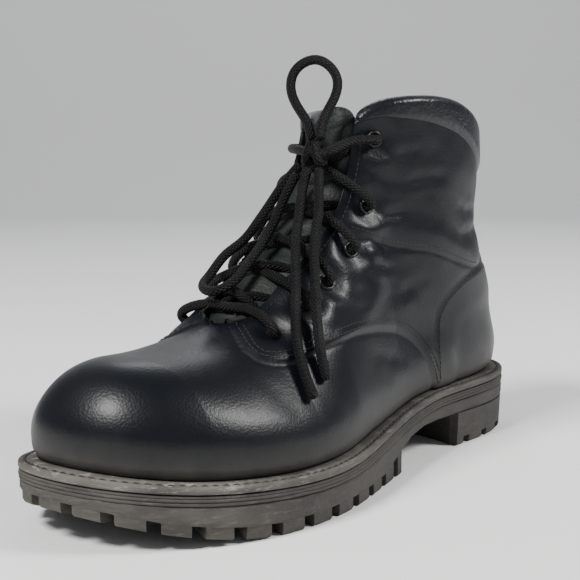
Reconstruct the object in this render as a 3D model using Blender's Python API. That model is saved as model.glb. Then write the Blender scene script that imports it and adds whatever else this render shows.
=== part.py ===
"""Laced leather combat boot, left foot, standing empty on its sole.

Metres, +Z up. The toe points to -Y, the heel to +Y and the outer side of the foot to +X.
The origin is on the floor, under the middle of the sole. Lists of shape points are in
millimetres and are multiplied by MM where they are read.
"""

import bmesh
import bpy
import numpy as np

MM = 0.001

# ---- Driving sizes ----------------------------------------------------------------------
GAP = 0.3 * MM               # air between neighbouring pieces
LEATHER = 2.4 * MM           # wall of the upper, with its lining
WELT_THICK = 3.4 * MM
MIDSOLE_THICK = 4.2 * MM
INSOLE_THICK = 3.2 * MM
LUG_DEPTH = 5.6 * MM
LUG_PITCH = 16.5 * MM        # from one edge lug to the next
LUG_GAP = 5.6 * MM
HEEL_BREAST_Y = 76 * MM      # front face of the heel block
LUGS_END_Y = 14 * MM         # the lugged forefoot stops here, and the bare waist begins
HEEL_HEIGHT = 17.4 * MM      # from the floor to the underside of the outsole's plate
HEEL_LUG_DEPTH = 4 * MM
SPRING_Y = -80 * MM          # the sole leaves the floor in front of here
TOE_SPRING = 14 * MM         # and is this high at TOE_TIP_Y
TOE_TIP_Y = -152 * MM
LACE = 4.4 * MM              # diameter of the round lace
EYELET_HOLE = 2.3 * MM       # radius of an eyelet's hole
EYELET_FLANGE = 4.0 * MM     # radius of its rim
EYELET_RIM = 1.5 * MM        # the rim's height above the leather
EYELET_SIDES = 8
# Each pair's share of the way up the throat, and its distance in from the throat's edge.
EYELETS = ((0.14, 18 * MM), (0.27, 18 * MM), (0.42, 17.5 * MM), (0.58, 17 * MM), (0.73, 15.5 * MM),
           (0.95, 11 * MM))
TONGUE_THICK = 3 * MM
COLLAR_HEIGHT = 14 * MM      # of the padded roll, at the back
COLLAR_THICK = 9 * MM
WELD = 0.02 * MM             # vertices closer than this are one

for old in list(bpy.data.objects):
    bpy.data.objects.remove(old)
boot = bpy.data.objects.new("boot", None)
bpy.context.scene.collection.objects.link(boot)


# ---- Curves -----------------------------------------------------------------------------
def natural_spline(knots, values):
    """Return f(x): the natural cubic through the values at the knots. Values may be points."""
    knots = np.asarray(knots, float)
    values = np.asarray(values, float)
    count = len(knots)
    steps = np.diff(knots)
    slopes = (np.diff(values, axis=0).T / steps).T
    matrix = np.eye(count)
    right = np.zeros_like(values)
    for i in range(1, count - 1):
        matrix[i, i - 1:i + 2] = steps[i - 1], 2 * (steps[i - 1] + steps[i]), steps[i]
        right[i] = 6 * (slopes[i] - slopes[i - 1])
    bends = np.linalg.solve(matrix, right)

    def curve(x):
        x = np.clip(np.asarray(x, float), knots[0], knots[-1])
        i = np.clip(np.searchsorted(knots, x, side="right") - 1, 0, count - 2)
        h = steps[i]
        b = (x - knots[i]) / h
        if values.ndim > 1:
            h = h[..., None]
            b = b[..., None]
        a = 1 - b
        bend = (a**3 - a) * bends[i] + (b**3 - b) * bends[i + 1]
        return a * values[i] + b * values[i + 1] + bend * h**2 / 6

    return curve


def through(points):
    """Return f(t), t from 0 to 1: the smooth curve through points given in millimetres."""
    points = np.array(points, float) * MM
    lengths = np.linalg.norm(np.diff(points, axis=0), axis=1)
    knots = np.concatenate([[0], np.cumsum(lengths)])
    return natural_spline(knots / knots[-1], points)


def height(y_list, z_list):
    """Return z(y), the smooth height along the boot through stations in millimetres."""
    return natural_spline(np.array(y_list) * MM, np.array(z_list) * MM)


# ---- The last: feather line, ridge, throat and collar --------------------------------------
# Plan of the feather line, where upper and welt meet: x, y from the toe round by the outer side.
FEATHER = [
    (-12, -146), (12, -140), (32, -122), (44.5, -98), (51, -70), (51, -45), (45.5, -15),
    (38, 20), (34, 55), (34.5, 92), (31.5, 120), (20, 139), (0, 146), (-20, 139), (-31.5, 120),
    (-33, 90), (-31, 55), (-32, 20), (-38, -15), (-45.5, -45), (-50.5, -75), (-51, -100),
    (-45, -126), (-31, -142),
]
POLE = np.array([-9, -112, 69]) * MM          # crown of the toe, where the front ribs meet
THROAT_Y = -60 * MM                           # lowest point of the throat
FRONT_Y = 27 * MM                             # foot of the rib that reaches the collar's front
ridge_z = height([-112, -97, -82, -70, -60], [69, 69, 70.5, 73, 76.5])
ridge_x = height([-112, -90, -60], [-9, -8, -6])
feather_z = height([-152, -120, -90, -60, -20, 20, 60, 100, 152],
                   [31, 26, 23.5, 22.5, 24.5, 28.5, 31.5, 32.5, 33])

throat_edge = {
    1: through([(-6, -60, 76.5), (2, -59, 77.5), (7, -54, 80), (11.5, -41, 90), (14.5, -26, 101.5),
                (17, -12, 114), (18.5, 0, 131), (20, 5, 150), (21, 7, 164)]),
    -1: through([(-6, -60, 76.5), (-13, -59, 77.5), (-17, -54, 80), (-17, -41, 90),
                 (-16.5, -26, 101.5), (-17, -12, 114), (-15.5, 0, 131), (-10, 5, 149),
                 (-9, 7, 159)]),
}
collar_edge = {
    1: through([(21, 7, 164), (31, 20, 167.5), (39.5, 44, 168.5), (41, 71, 163.5),
                (34, 97, 151), (18, 112.5, 141), (0, 117.5, 138.5)]),
    -1: through([(-9, 7, 159), (-19, 20, 160.5), (-28.5, 44, 162), (-32, 71, 158.5),
                 (-27.5, 97, 149), (-15, 112.5, 141), (0, 117.5, 138.5)]),
}


def ground_z(y):
    """Underside of the lugs: flat on the floor, and rising in a parabola towards the toe."""
    return TOE_SPRING * np.clip((SPRING_Y - y) / (SPRING_Y - TOE_TIP_Y), 0, None)**2


def plate_z(y):
    """Underside of the outsole's plate: above the lugs in front, up over the waist to the heel."""
    depth = LUG_DEPTH * np.interp(y, [TOE_TIP_Y, SPRING_Y], [0.75, 1])
    rise = np.clip((y + 14 * MM) / (54 * MM), 0, 1)
    return ground_z(y) + depth + (HEEL_HEIGHT - LUG_DEPTH) * (3 - 2 * rise) * rise**2


def feather_plan():
    """Return the closed feather line as dense points with their outward normals in plan."""
    points = np.array(FEATHER, float) * MM
    wrapped = np.vstack([points[-4:], points, points[:5]])
    knots = np.concatenate([[0], np.cumsum(np.linalg.norm(np.diff(wrapped, axis=0), axis=1))])
    curve = natural_spline(knots, wrapped)
    t = np.linspace(knots[4], knots[4 + len(points)], 3001)
    step = 1e-5
    tangent = curve(t + step) - curve(t - step)
    tangent /= np.linalg.norm(tangent, axis=1)[:, None]
    normal = np.stack([tangent[:, 1], -tangent[:, 0]], axis=1)
    return curve(t), normal


def feather_sides():
    """Split the feather line at toe and heel: for each side y, x and the normal, y rising."""
    line, normal = feather_plan()
    toe = np.argmin(line[:, 1])
    line = np.roll(line[:-1], -toe, axis=0)
    normal = np.roll(normal[:-1], -toe, axis=0)
    heel = np.argmax(line[:, 1])
    outer = (line[:heel + 1], normal[:heel + 1])
    inner = (np.vstack([line[heel:], line[:1]])[::-1], np.vstack([normal[heel:], normal[:1]])[::-1])
    return {1: outer, -1: inner}


SIDES = feather_sides()


def station_y(s):
    """Stations from toe, s = 0, to heel, s = 1, closer together at both rounded ends."""
    toe = SIDES[1][0][0, 1]
    heel = SIDES[1][0][-1, 1]
    return toe + (heel - toe) * (1 - np.cos(np.pi * s)) / 2


def station_s(y):
    """The inverse of station_y."""
    toe = SIDES[1][0][0, 1]
    heel = SIDES[1][0][-1, 1]
    return np.arccos(np.clip(1 - 2 * (y - toe) / (heel - toe), -1, 1)) / np.pi


def feather(side, s):
    """Return the feather line's plan point and outward normal at stations s of one side."""
    line, normal = SIDES[side]
    y = station_y(s)
    plan = np.stack([np.interp(y, line[:, 1], line[:, 0]), y], axis=-1)
    outward = np.stack([np.interp(y, line[:, 1], normal[:, i]) for i in (0, 1)], axis=-1)
    return plan, outward / np.linalg.norm(outward, axis=-1)[..., None]


# ---- The upper's surface -------------------------------------------------------------------
def rib_top(side, s):
    """The upper end of each rib: toe crown, then ridge, then throat edge, then collar edge."""
    y = station_y(s)
    throat = throat_edge[side]((y - THROAT_Y) / (FRONT_Y - THROAT_Y))
    front = station_s(FRONT_Y)
    collar = collar_edge[side]((s - front) / (1 - front))
    ridge = np.stack([ridge_x(y), y, ridge_z(y)], axis=-1)
    top = np.where((y < FRONT_Y)[..., None], throat, collar)
    top = np.where((y < THROAT_Y)[..., None], ridge, top)
    return np.where((y < POLE[1])[..., None], POLE, top)


def bump(x, centre, width):
    """A smooth hump of height 1 at the centre."""
    return np.exp(-((x - centre) / width)**2)


def swell(side, y, z, s):
    """How far the leather stands out from the plain rib, level with the floor."""
    above = z - feather_z(y)
    back = bump(s, 1, 0.2)
    ankle_y = 74 * MM if side > 0 else 66 * MM
    out = 2.2 * MM * bump(above, 15 * MM, 13 * MM)
    out += 2.8 * MM * back * bump(z, 66 * MM, 26 * MM)
    out -= 6.5 * MM * back * bump(z, 112 * MM, 18 * MM)
    out += 3.2 * MM * bump(y, ankle_y, 26 * MM) * bump(z, 104 * MM, 24 * MM)
    if side < 0:
        out -= 2.5 * MM * bump(y, 25 * MM, 32 * MM) * bump(z, 46 * MM, 16 * MM)
    return out * np.clip(above / (3 * MM), 0, 1)


def upper_point(side, s, v):
    """A point on the upper's outside. s runs from toe to heel, v from feather line to top edge.

    Each rib leaves the feather line upright and bends over to its top on a superellipse in
    the vamp, and is nearly straight in the shaft. The swell then pushes it out level.
    """
    s, v = np.broadcast_arrays(np.asarray(s, float), np.asarray(v, float))
    plan, outward = feather(side, s)
    y = plan[..., 1]
    foot = np.concatenate([plan, feather_z(y)[..., None]], axis=-1)
    top = rib_top(side, s)
    front = station_s(FRONT_Y)
    round_y = [-56 * MM, -28 * MM, 0, 27 * MM]
    roundness = np.interp(y, round_y, [1, 0.86, 0.5, 0.26])
    roundness = np.where(s > front, np.interp((s - front) / (1 - front), [0, 0.25, 1], [0.26, 0.06, 0]),
                         roundness)
    power = 2 / np.interp(y, [-112 * MM, -80 * MM, -40 * MM], [2.55, 2.3, 2.0])
    angle = v * np.pi / 2
    across = (1 - roundness) * v + roundness * (1 - np.cos(angle)**power)
    up = (1 - roundness) * v + roundness * np.sin(angle)**power
    level = foot[..., :2] + (top - foot)[..., :2] * across[..., None]
    z = foot[..., 2] + (top - foot)[..., 2] * up
    fade = 1 - np.clip((v - 0.75) / 0.25, 0, 1)**2
    level = level + outward * (swell(side, y, z, s) * fade)[..., None]
    return np.concatenate([level, z[..., None]], axis=-1)


def upper_normal(side, s, v):
    """Unit outward normal of upper_point, by small steps along s and v."""
    step = 1e-4
    s, v = np.broadcast_arrays(np.asarray(s, float), np.asarray(v, float))
    s = np.clip(s, 2 * step, 1 - 2 * step)
    v = np.clip(v, 2 * step, 1 - 2 * step)
    along = upper_point(side, s + step, v) - upper_point(side, s - step, v)
    up = upper_point(side, s, v + step) - upper_point(side, s, v - step)
    normal = np.cross(along, up) * side
    return normal / np.linalg.norm(normal, axis=-1)[..., None]


# ---- Making objects --------------------------------------------------------------------------
def material(name, colour, roughness, metallic=0.0):
    """A Principled BSDF material with a plain colour."""
    made = bpy.data.materials.new(name)
    made.use_nodes = True
    shader = made.node_tree.nodes["Principled BSDF"]
    shader.inputs["Base Color"].default_value = (*colour, 1)
    shader.inputs["Roughness"].default_value = roughness
    shader.inputs["Metallic"].default_value = metallic
    return made


def add_object(name, points, faces, finish, smooth=40):
    """Make a mesh object under the boot's empty. Edges sharper than smooth degrees stay crisp."""
    mesh = bpy.data.meshes.new(name)
    mesh.from_pydata(np.asarray(points).tolist(), [], faces)
    shape = bmesh.new()
    shape.from_mesh(mesh)
    bmesh.ops.remove_doubles(shape, verts=shape.verts, dist=WELD)
    shape.to_mesh(mesh)
    shape.free()
    mesh.shade_smooth()
    mesh.set_sharp_from_angle(angle=np.radians(smooth))
    made = bpy.data.objects.new(name, mesh)
    made.data.materials.append(finish)
    made.parent = boot
    bpy.context.scene.collection.objects.link(made)
    return made


def hide_cutter(cutter):
    """Mark an object as a guide that shapes others and isn't part of the boot."""
    cutter.hide_render = True
    cutter.display_type = "WIRE"


def boolean(target, cutter, operation):
    """Shape the target with a cutter object."""
    modifier = target.modifiers.new(cutter.name, "BOOLEAN")
    modifier.operation = operation
    modifier.solver = "EXACT"
    modifier.object = cutter
    hide_cutter(cutter)


def ring_faces(count, low, high):
    """Quads between two rings of equal count that start at vertices low and high."""
    return [(low + i, low + (i + 1) % count, high + (i + 1) % count, high + i) for i in range(count)]


# ---- Sole pieces -------------------------------------------------------------------------------
def sole_edge(inset):
    """Reach of an outline from the feather line, so that it lies inset from the sole's edge."""
    places = [-150 * MM, -60 * MM, 60 * MM, 150 * MM]
    return lambda y: np.interp(y, places, [7 * MM, 7 * MM, 5 * MM, 7 * MM]) - inset


def inside(depth):
    """Reach of an outline that lies the same depth inside the feather line all round."""
    return lambda y: np.full_like(y, -depth)


def lowered(z_of_y, depth):
    """The height function moved down by depth."""
    return lambda y: z_of_y(y) - depth


def outline(reach, z_of_y, stations):
    """A ring of points: the outer side from toe to heel, then the inner side back to the toe."""
    rows = []
    for side in (1, -1):
        plan, outward = feather(side, stations)
        plan = plan + outward * reach(plan[:, 1])[:, None]
        rows.append(np.column_stack([plan, z_of_y(plan[:, 1])]))
    return np.vstack([rows[0], rows[1][::-1]])


def ring_faces(count, low, high):
    """Quads between two rings of equal count that start at vertices low and high."""
    return [(low + i, low + (i + 1) % count, high + (i + 1) % count, high + i) for i in range(count)]


def cap_faces(count, start):
    """Strips across a ring, from its outer side to its inner side, facing up."""
    last = start + count - 1
    return [(start + i, start + i + 1, last - i - 1, last - i) for i in range(count // 2 - 1)]


def stack(name, layers, finish, stations):
    """A closed solid through layers of (reach, height function), listed from bottom to top."""
    rings = [outline(reach, z_of_y, stations) for reach, z_of_y in layers]
    count = len(rings[0])
    faces = [face[::-1] for face in cap_faces(count, 0)]
    for level in range(len(rings) - 1):
        faces += ring_faces(count, level * count, (level + 1) * count)
    faces += cap_faces(count, (len(rings) - 1) * count)
    return add_object(name, np.vstack(rings), faces, finish)


def box_shape(centre, size, turn):
    """Corners and faces of a plain box, turned about Z."""
    corners = np.array([(x, y, z) for x in (-0.5, 0.5) for y in (-0.5, 0.5) for z in (-0.5, 0.5)])
    spin = np.array([[np.cos(turn), -np.sin(turn), 0], [np.sin(turn), np.cos(turn), 0], [0, 0, 1]])
    faces = [(0, 1, 3, 2), (4, 6, 7, 5), (0, 4, 5, 1), (2, 3, 7, 6), (0, 2, 6, 4), (1, 5, 7, 3)]
    return (corners * size) @ spin.T + centre, faces


def joined(shapes):
    """Put several (points, faces) shapes into one list of points and one of faces."""
    points = []
    faces = []
    for shape_points, shape_faces in shapes:
        faces += [tuple(k + len(points) for k in face) for face in shape_faces]
        points += np.asarray(shape_points).tolist()
    return points, faces


WHOLE = np.linspace(0, 1, 28)                   # stations of the pieces that run the full length
WELT_LOW = WELT_THICK + GAP                     # depths below the feather line
MIDSOLE_TOP = WELT_LOW + GAP
MIDSOLE_LOW = MIDSOLE_TOP + MIDSOLE_THICK
OUTSOLE_TOP = MIDSOLE_LOW + GAP
WELT_INSIDE = 8 * MM                            # the welt reaches this far inside the feather line
LUG_LONG = 22 * MM                              # edge lugs reach this far in from the sole's edge


def make_welt(finish):
    """The welt: a flat strip all round, between the upper's edge and the midsole."""
    section = [(sole_edge(0.5 * MM), WELT_LOW), (sole_edge(0), WELT_LOW - 0.8 * MM),
               (sole_edge(0), GAP + 0.9 * MM), (sole_edge(0.9 * MM), GAP),
               (inside(WELT_INSIDE), GAP), (inside(WELT_INSIDE), WELT_LOW)]
    rings = [outline(reach, lowered(feather_z, depth), WHOLE) for reach, depth in section]
    count = len(rings[0])
    faces = []
    for level in range(len(rings)):
        faces += ring_faces(count, level * count, (level + 1) % len(rings) * count)
    return add_object("welt", np.vstack(rings), faces, finish)


def make_insole(finish):
    """The insole: a rib that fills the welt's opening, under a flange inside the upper."""
    rib = inside(WELT_INSIDE + GAP)
    rim = inside(LEATHER + 1.6 * MM)
    layers = [(rib, lowered(feather_z, WELT_LOW)), (rib, feather_z), (rim, feather_z),
              (rim, lowered(feather_z, 0.8 * MM - INSOLE_THICK)),
              (inside(LEATHER + 2.6 * MM), lowered(feather_z, -INSOLE_THICK))]
    return stack("insole", layers, finish, WHOLE)


def make_midsole(finish):
    """The midsole: a level layer with rounded edges between welt and outsole."""
    layers = [(sole_edge(0.9 * MM), lowered(feather_z, MIDSOLE_LOW)),
              (sole_edge(0.2 * MM), lowered(feather_z, MIDSOLE_LOW - 0.9 * MM)),
              (sole_edge(0.2 * MM), lowered(feather_z, MIDSOLE_TOP + 0.9 * MM)),
              (sole_edge(0.9 * MM), lowered(feather_z, MIDSOLE_TOP))]
    return stack("midsole", layers, finish, WHOLE)


def groove_box(side, s, length, width, top):
    """A box square to the sole's edge at station s, from just outside the edge inwards."""
    plan, outward = feather(side, s)
    reach = sole_edge(0)(plan[1]) + 3 * MM
    middle = plan + outward * (reach - length / 2)
    low = -3 * MM
    size = np.array([length, width, top - low])
    return box_shape(np.array([*middle, (top + low) / 2]), size, np.arctan2(outward[1], outward[0]))


def edge_grooves(name, first_y, last_y, length, top, finish):
    """One cutter for the gaps between the edge lugs of both sides."""
    shapes = []
    for side in (1, -1):
        stations = np.linspace(station_s(first_y), station_s(last_y), 400)
        plan = feather(side, stations)[0]
        walked = np.concatenate([[0], np.cumsum(np.linalg.norm(np.diff(plan, axis=0), axis=1))])
        count = round(walked[-1] / LUG_PITCH)
        places = np.interp((np.arange(count) + 0.5) * walked[-1] / count, walked, stations)
        shapes += [groove_box(side, s, length, LUG_GAP, top) for s in places]
    return add_object(name, *joined(shapes), finish)


def channel(name, finish):
    """A cutter for the groove that runs round inside the edge lugs."""
    outer = sole_edge(LUG_LONG)
    inner = sole_edge(LUG_LONG + 0.8 * LUG_GAP)
    low = lowered(ground_z, 5 * MM)
    high = lowered(plate_z, -5 * MM)
    section = [(outer, low), (outer, high), (inner, high), (inner, low)]
    rings = [outline(reach, z_of_y, WHOLE) for reach, z_of_y in section]
    count = len(rings[0])
    faces = []
    for level in range(4):
        faces += ring_faces(count, level * count, (level + 1) % 4 * count)
    return add_object(name, np.vstack(rings), faces, finish)


def centre_grooves(name, y_list, finish):
    """A cutter for the gaps across the middle of the tread, between the two long channels."""
    shapes = []
    for y in y_list:
        ends = []
        for side in (1, -1):
            plan, outward = feather(side, station_s(y))
            ends.append((plan + outward * sole_edge(LUG_LONG + 0.4 * LUG_GAP)(y))[0])
        middle = np.array([sum(ends) / 2, y, 10 * MM])
        size = np.array([ends[0] - ends[1], LUG_GAP, 40 * MM])
        shapes.append(box_shape(middle, size, 0))
    return add_object(name, *joined(shapes), finish)


def make_outsole(finish):
    """The outsole: a plate the length of the boot, with lugs under the forefoot."""
    top = lowered(feather_z, OUTSOLE_TOP)
    layers = [(sole_edge(1.2 * MM), plate_z), (sole_edge(0.3 * MM), lowered(plate_z, -1.2 * MM)),
              (sole_edge(0.3 * MM), lowered(top, 1 * MM)), (sole_edge(1.2 * MM), top)]
    outsole = stack("outsole", layers, finish, WHOLE)
    tread = np.linspace(0, station_s(LUGS_END_Y), 24)
    layers = [(sole_edge(2.2 * MM), ground_z), (sole_edge(1.4 * MM), lowered(ground_z, -1.2 * MM)),
              (sole_edge(1.4 * MM), lowered(plate_z, -1 * MM))]
    lugs = stack("lugs", layers, finish, tread)
    top = LUG_DEPTH + 30 * MM
    grooves = edge_grooves("edge_grooves", TOE_TIP_Y, LUGS_END_Y, LUG_LONG + 6 * MM, top, finish)
    boolean(lugs, grooves, "DIFFERENCE")
    boolean(lugs, channel("channel", finish), "DIFFERENCE")
    middle_y = np.arange(-108, 36, 20) * MM
    boolean(lugs, centre_grooves("centre_grooves", middle_y, finish), "DIFFERENCE")
    boolean(outsole, lugs, "UNION")
    return outsole


def make_heel(finish):
    """The heel: a block with a hollowed breast and short lugs round its lower edge."""
    stations = np.linspace(station_s(HEEL_BREAST_Y), 1, 16)
    top = lowered(plate_z, GAP)
    layers = [(sole_edge(2.2 * MM), ground_z), (sole_edge(1.2 * MM), lowered(ground_z, -1 * MM)),
              (sole_edge(0.6 * MM), top)]
    heel = stack("heel", layers, finish, stations)
    grooves = edge_grooves("heel_grooves", HEEL_BREAST_Y, 150 * MM, 17 * MM, HEEL_LUG_DEPTH, finish)
    boolean(heel, grooves, "DIFFERENCE")
    hollow_radius = 75 * MM
    hollow_depth = 8 * MM
    turn = np.linspace(0, 2 * np.pi, 49)[:-1]
    ring = np.column_stack([np.cos(turn), np.sin(turn)]) * hollow_radius
    ring[:, 1] += HEEL_BREAST_Y + hollow_depth - hollow_radius
    points = [(x, y, z) for z in (-5 * MM, 40 * MM) for x, y in ring]
    faces = ring_faces(len(turn), 0, len(turn))
    faces += [tuple(range(len(turn)))[::-1], tuple(range(len(turn), 2 * len(turn)))]
    boolean(heel, add_object("heel_breast", points, faces, finish), "DIFFERENCE")
    return heel


# ---- Upper pieces ------------------------------------------------------------------------------
def split(ends, counts):
    """Stations that land on every end, with the given number of steps between them."""
    parts = [np.linspace(ends[i], ends[i + 1], counts[i] + 1)[:-1] for i in range(len(counts))]
    return np.concatenate([*parts, ends[-1:]])


def sheet_faces(rows, columns, start, side):
    """Quads of a grid stored row by row, facing out on the given side of the boot."""
    faces = []
    for i in range(rows - 1):
        for j in range(columns - 1):
            corner = start + i * columns + j
            face = (corner, corner + columns, corner + columns + 1, corner + 1)
            faces.append(face[::side])
    return faces


def beside_throat(side, share, inward):
    """Stations (s, v) of the leather's point at a distance in from the throat's edge."""
    edge_s = station_s(THROAT_Y + share * (FRONT_Y - THROAT_Y))
    edge = upper_point(side, edge_s, 1.0)
    ahead = upper_point(side, edge_s + 0.003, 1.0) - upper_point(side, edge_s - 0.003, 1.0)
    away = np.cross(upper_normal(side, edge_s, 0.995), ahead) * -side
    wanted = edge + away / np.linalg.norm(away) * inward
    s, v = np.meshgrid(np.linspace(edge_s - 0.1, edge_s + 0.2, 241), np.linspace(0.4, 1, 241))
    nearest = np.argmin(np.linalg.norm(upper_point(side, s, v) - wanted, axis=-1))
    return s.flat[nearest], v.flat[nearest]


def eyelet_places(side):
    """Centre and outward normal of each eyelet, up one side of the throat."""
    stations = [beside_throat(side, share, inward) for share, inward in EYELETS]
    return [(upper_point(side, s, v), upper_normal(side, s, v)) for s, v in stations]


def turned(place, normal, section, sides):
    """A ring turned about the normal: section is a closed loop of (radius, height) points."""
    across = np.cross(normal, (0, 0, 1))
    across /= np.linalg.norm(across)
    up = np.cross(normal, across)
    turn = np.arange(sides) * 2 * np.pi / sides
    spoke = np.outer(np.cos(turn), across) + np.outer(np.sin(turn), up)
    rings = [place + spoke * radius + normal * rise for radius, rise in section]
    return rings


def make_upper(finish):
    """The upper: one leather shell on the last, open underneath, at the throat and at the top."""
    ends = station_s(np.array([-1, POLE[1], THROAT_Y, FRONT_Y, 1]))
    stations = split(ends, [6, 5, 8, 12])
    v = np.linspace(0, 1, 13)
    points = []
    faces = []
    for side in (1, -1):
        faces += sheet_faces(len(stations), len(v), len(points), side)
        points += upper_point(side, stations[:, None], v[None, :]).reshape(-1, 3).tolist()
    upper = add_object("upper", points, faces, finish, smooth=60)
    wall = upper.modifiers.new("wall", "SOLIDIFY")
    wall.thickness = LEATHER
    wall.offset = -1
    holes = []
    section = [(EYELET_HOLE + 1.25 * MM, -LEATHER - 3 * MM), (EYELET_HOLE + 1.25 * MM, 3 * MM)]
    for side in (1, -1):
        for place, normal in eyelet_places(side):
            rings = turned(place, normal, section, EYELET_SIDES)
            walls = ring_faces(EYELET_SIDES, 0, EYELET_SIDES)
            caps = [tuple(range(EYELET_SIDES))[::-1], tuple(range(EYELET_SIDES, 2 * EYELET_SIDES))]
            holes.append((np.vstack(rings), walls + caps))
    boolean(upper, add_object("eyelet_holes", *joined(holes), finish), "DIFFERENCE")
    return upper


def make_eyelets(finish):
    """Twelve rolled eyelets: a barrel through the leather under a rounded rim."""
    barrel = EYELET_HOLE + 0.8 * MM
    low = -LEATHER - 0.4 * MM
    section = [(EYELET_HOLE, low), (barrel, low), (barrel, 0.8 * MM), (EYELET_FLANGE, 0.8 * MM),
               (EYELET_FLANGE - 0.6 * MM, EYELET_RIM), (EYELET_HOLE, EYELET_RIM)]
    for side, label in ((1, "outer"), (-1, "inner")):
        for number, (place, normal) in enumerate(eyelet_places(side), 1):
            rings = turned(place, normal, section, EYELET_SIDES)
            faces = []
            for level in range(len(rings)):
                following = (level + 1) % len(rings) * EYELET_SIDES
                faces += ring_faces(EYELET_SIDES, level * EYELET_SIDES, following)
            add_object(f"eyelet_{label}_{number}", np.vstack(rings), faces, finish)


def throat_middle(share, crown):
    """A point on the middle of the throat, raised by crown over its two edges, and its normal."""
    s = station_s(THROAT_Y + share * (FRONT_Y - THROAT_Y))
    edges = [upper_point(side, s, 1.0) for side in (1, -1)]
    normals = [upper_normal(side, s, 0.98) for side in (1, -1)]
    normal = sum(normals) / np.linalg.norm(sum(normals))
    return sum(edges) / 2 + normal * crown, normal


def make_tongue(finish):
    """The tongue: a padded sheet under the throat, tucked in below both edges."""
    shares = np.concatenate([np.linspace(0.03, 0.97, 11), [0.97, 0.97]])
    rises = np.concatenate([np.zeros(11), [6 * MM, 12 * MM]])
    across = np.linspace(0, 1, 9)
    points = []
    for share, rise in zip(shares, rises):
        reach = np.interp(share, [0.03, 0.7, 0.97], [13, 11, 2]) * MM
        under = LEATHER + np.interp(share, [0.03, 0.15, 0.3], [4, 2, 0.9]) * MM
        ribs = []
        for side in (1, -1):
            for inward in (reach, 0.25 * reach):
                s, v = beside_throat(side, share, inward)
                ribs.append(upper_point(side, s, v) - upper_normal(side, s, v) * under)
        middle, normal = throat_middle(share, np.interp(share, [0.03, 0.2], [-6, 0.5]) * MM)
        section = np.array([ribs[0], ribs[1], middle, ribs[3], ribs[2]])
        centre = section.mean(axis=0)
        narrowing = 1 - 0.45 * rise / (12 * MM)
        section = centre + (section - centre) * narrowing
        section = section + np.array([0, 0.25, 1]) * rise
        points.append(through(section / MM)(across))
    rows = len(points)
    faces = sheet_faces(rows, len(across), 0, 1)
    tongue = add_object("tongue", np.vstack(points), faces, finish, smooth=60)
    wall = tongue.modifiers.new("wall", "SOLIDIFY")
    wall.thickness = TONGUE_THICK
    wall.offset = -1
    return tongue


def make_collar(finish):
    """The collar: a padded roll that rides on the shaft's top edge, thicker at the back."""
    front = station_s(FRONT_Y)
    along = np.linspace(0.06, 1, 15)
    stations = np.concatenate([along, along[-2::-1]])
    sides = [1] * len(along) + [-1] * (len(along) - 1)
    turn = np.arange(8) * 2 * np.pi / 8
    rings = []
    for share, side in zip(stations, sides):
        edge = collar_edge[side](share)
        outward = feather(side, front + share * (1 - front))[1]
        half_height = np.interp(share, [0, 0.25, 1], [0.4, 0.5, 1]) * COLLAR_HEIGHT / 2
        half_thick = COLLAR_THICK / 2
        level = edge[:2] + np.outer(half_thick * (np.cos(turn) - 1) + 0.4 * MM, outward)
        z = edge[2] + 0.8 * MM + half_height * (1 + np.sin(turn))
        rings.append(np.column_stack([level, z]))
    count = len(turn)
    faces = [tuple(range(count)), tuple(range((len(rings) - 1) * count, len(rings) * count))[::-1]]
    for level in range(len(rings) - 1):
        faces += [face[::-1] for face in ring_faces(count, level * count, (level + 1) * count)]
    return add_object("collar", np.vstack(rings), faces, finish, smooth=60)


# ---- Laces ---------------------------------------------------------------------------------------
def tube(path, radius, sides=6):
    """Points and faces of a capped round tube along a path of points."""
    ahead = np.gradient(path, axis=0)
    ahead /= np.linalg.norm(ahead, axis=1)[:, None]
    turn = np.arange(sides) * 2 * np.pi / sides
    across = np.cross(ahead[0], (0.31, 0.2, 0.93))
    rings = []
    for point, forward in zip(path, ahead):
        across = across - forward * (across @ forward)
        across = across / np.linalg.norm(across)
        up = np.cross(forward, across)
        rings.append(point + radius * (np.outer(np.cos(turn), across) + np.outer(np.sin(turn), up)))
    faces = [tuple(range(sides))[::-1]]
    for level in range(len(path) - 1):
        faces += ring_faces(sides, level * sides, (level + 1) * sides)
    faces.append(tuple(range((len(path) - 1) * sides, len(path) * sides)))
    return np.vstack(rings), faces


def over_throat(low, high):
    """Points of a strand from low to high, each a (side, pair), that lies over the tongue."""
    places = {side: eyelet_places(side) for side in (1, -1)}
    above = EYELET_RIM + LACE / 2 + 1.6 * MM
    points = []
    for side, pair in (low, high):
        place, normal = places[side][pair]
        points.append(place + normal * above)
    shares = [EYELETS[pair][0] for side, pair in (low, high)]
    middle = []
    for part, side in ((0.32, low[0]), (0.5, 0), (0.68, high[0])):
        share = shares[0] + (shares[1] - shares[0]) * part
        if side == 0:
            centre, normal = throat_middle(share, LACE / 2 + 2.6 * MM)
            middle.append(centre)
        else:
            s = station_s(THROAT_Y + share * (FRONT_Y - THROAT_Y))
            lift = LACE / 2 + np.interp(share, [0.6, 0.85], [2.3, 3.5]) * MM
            middle.append(upper_point(side, s, 1.0) + upper_normal(side, s, 0.98) * lift)
    return [points[0], *middle, points[1]]


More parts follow.
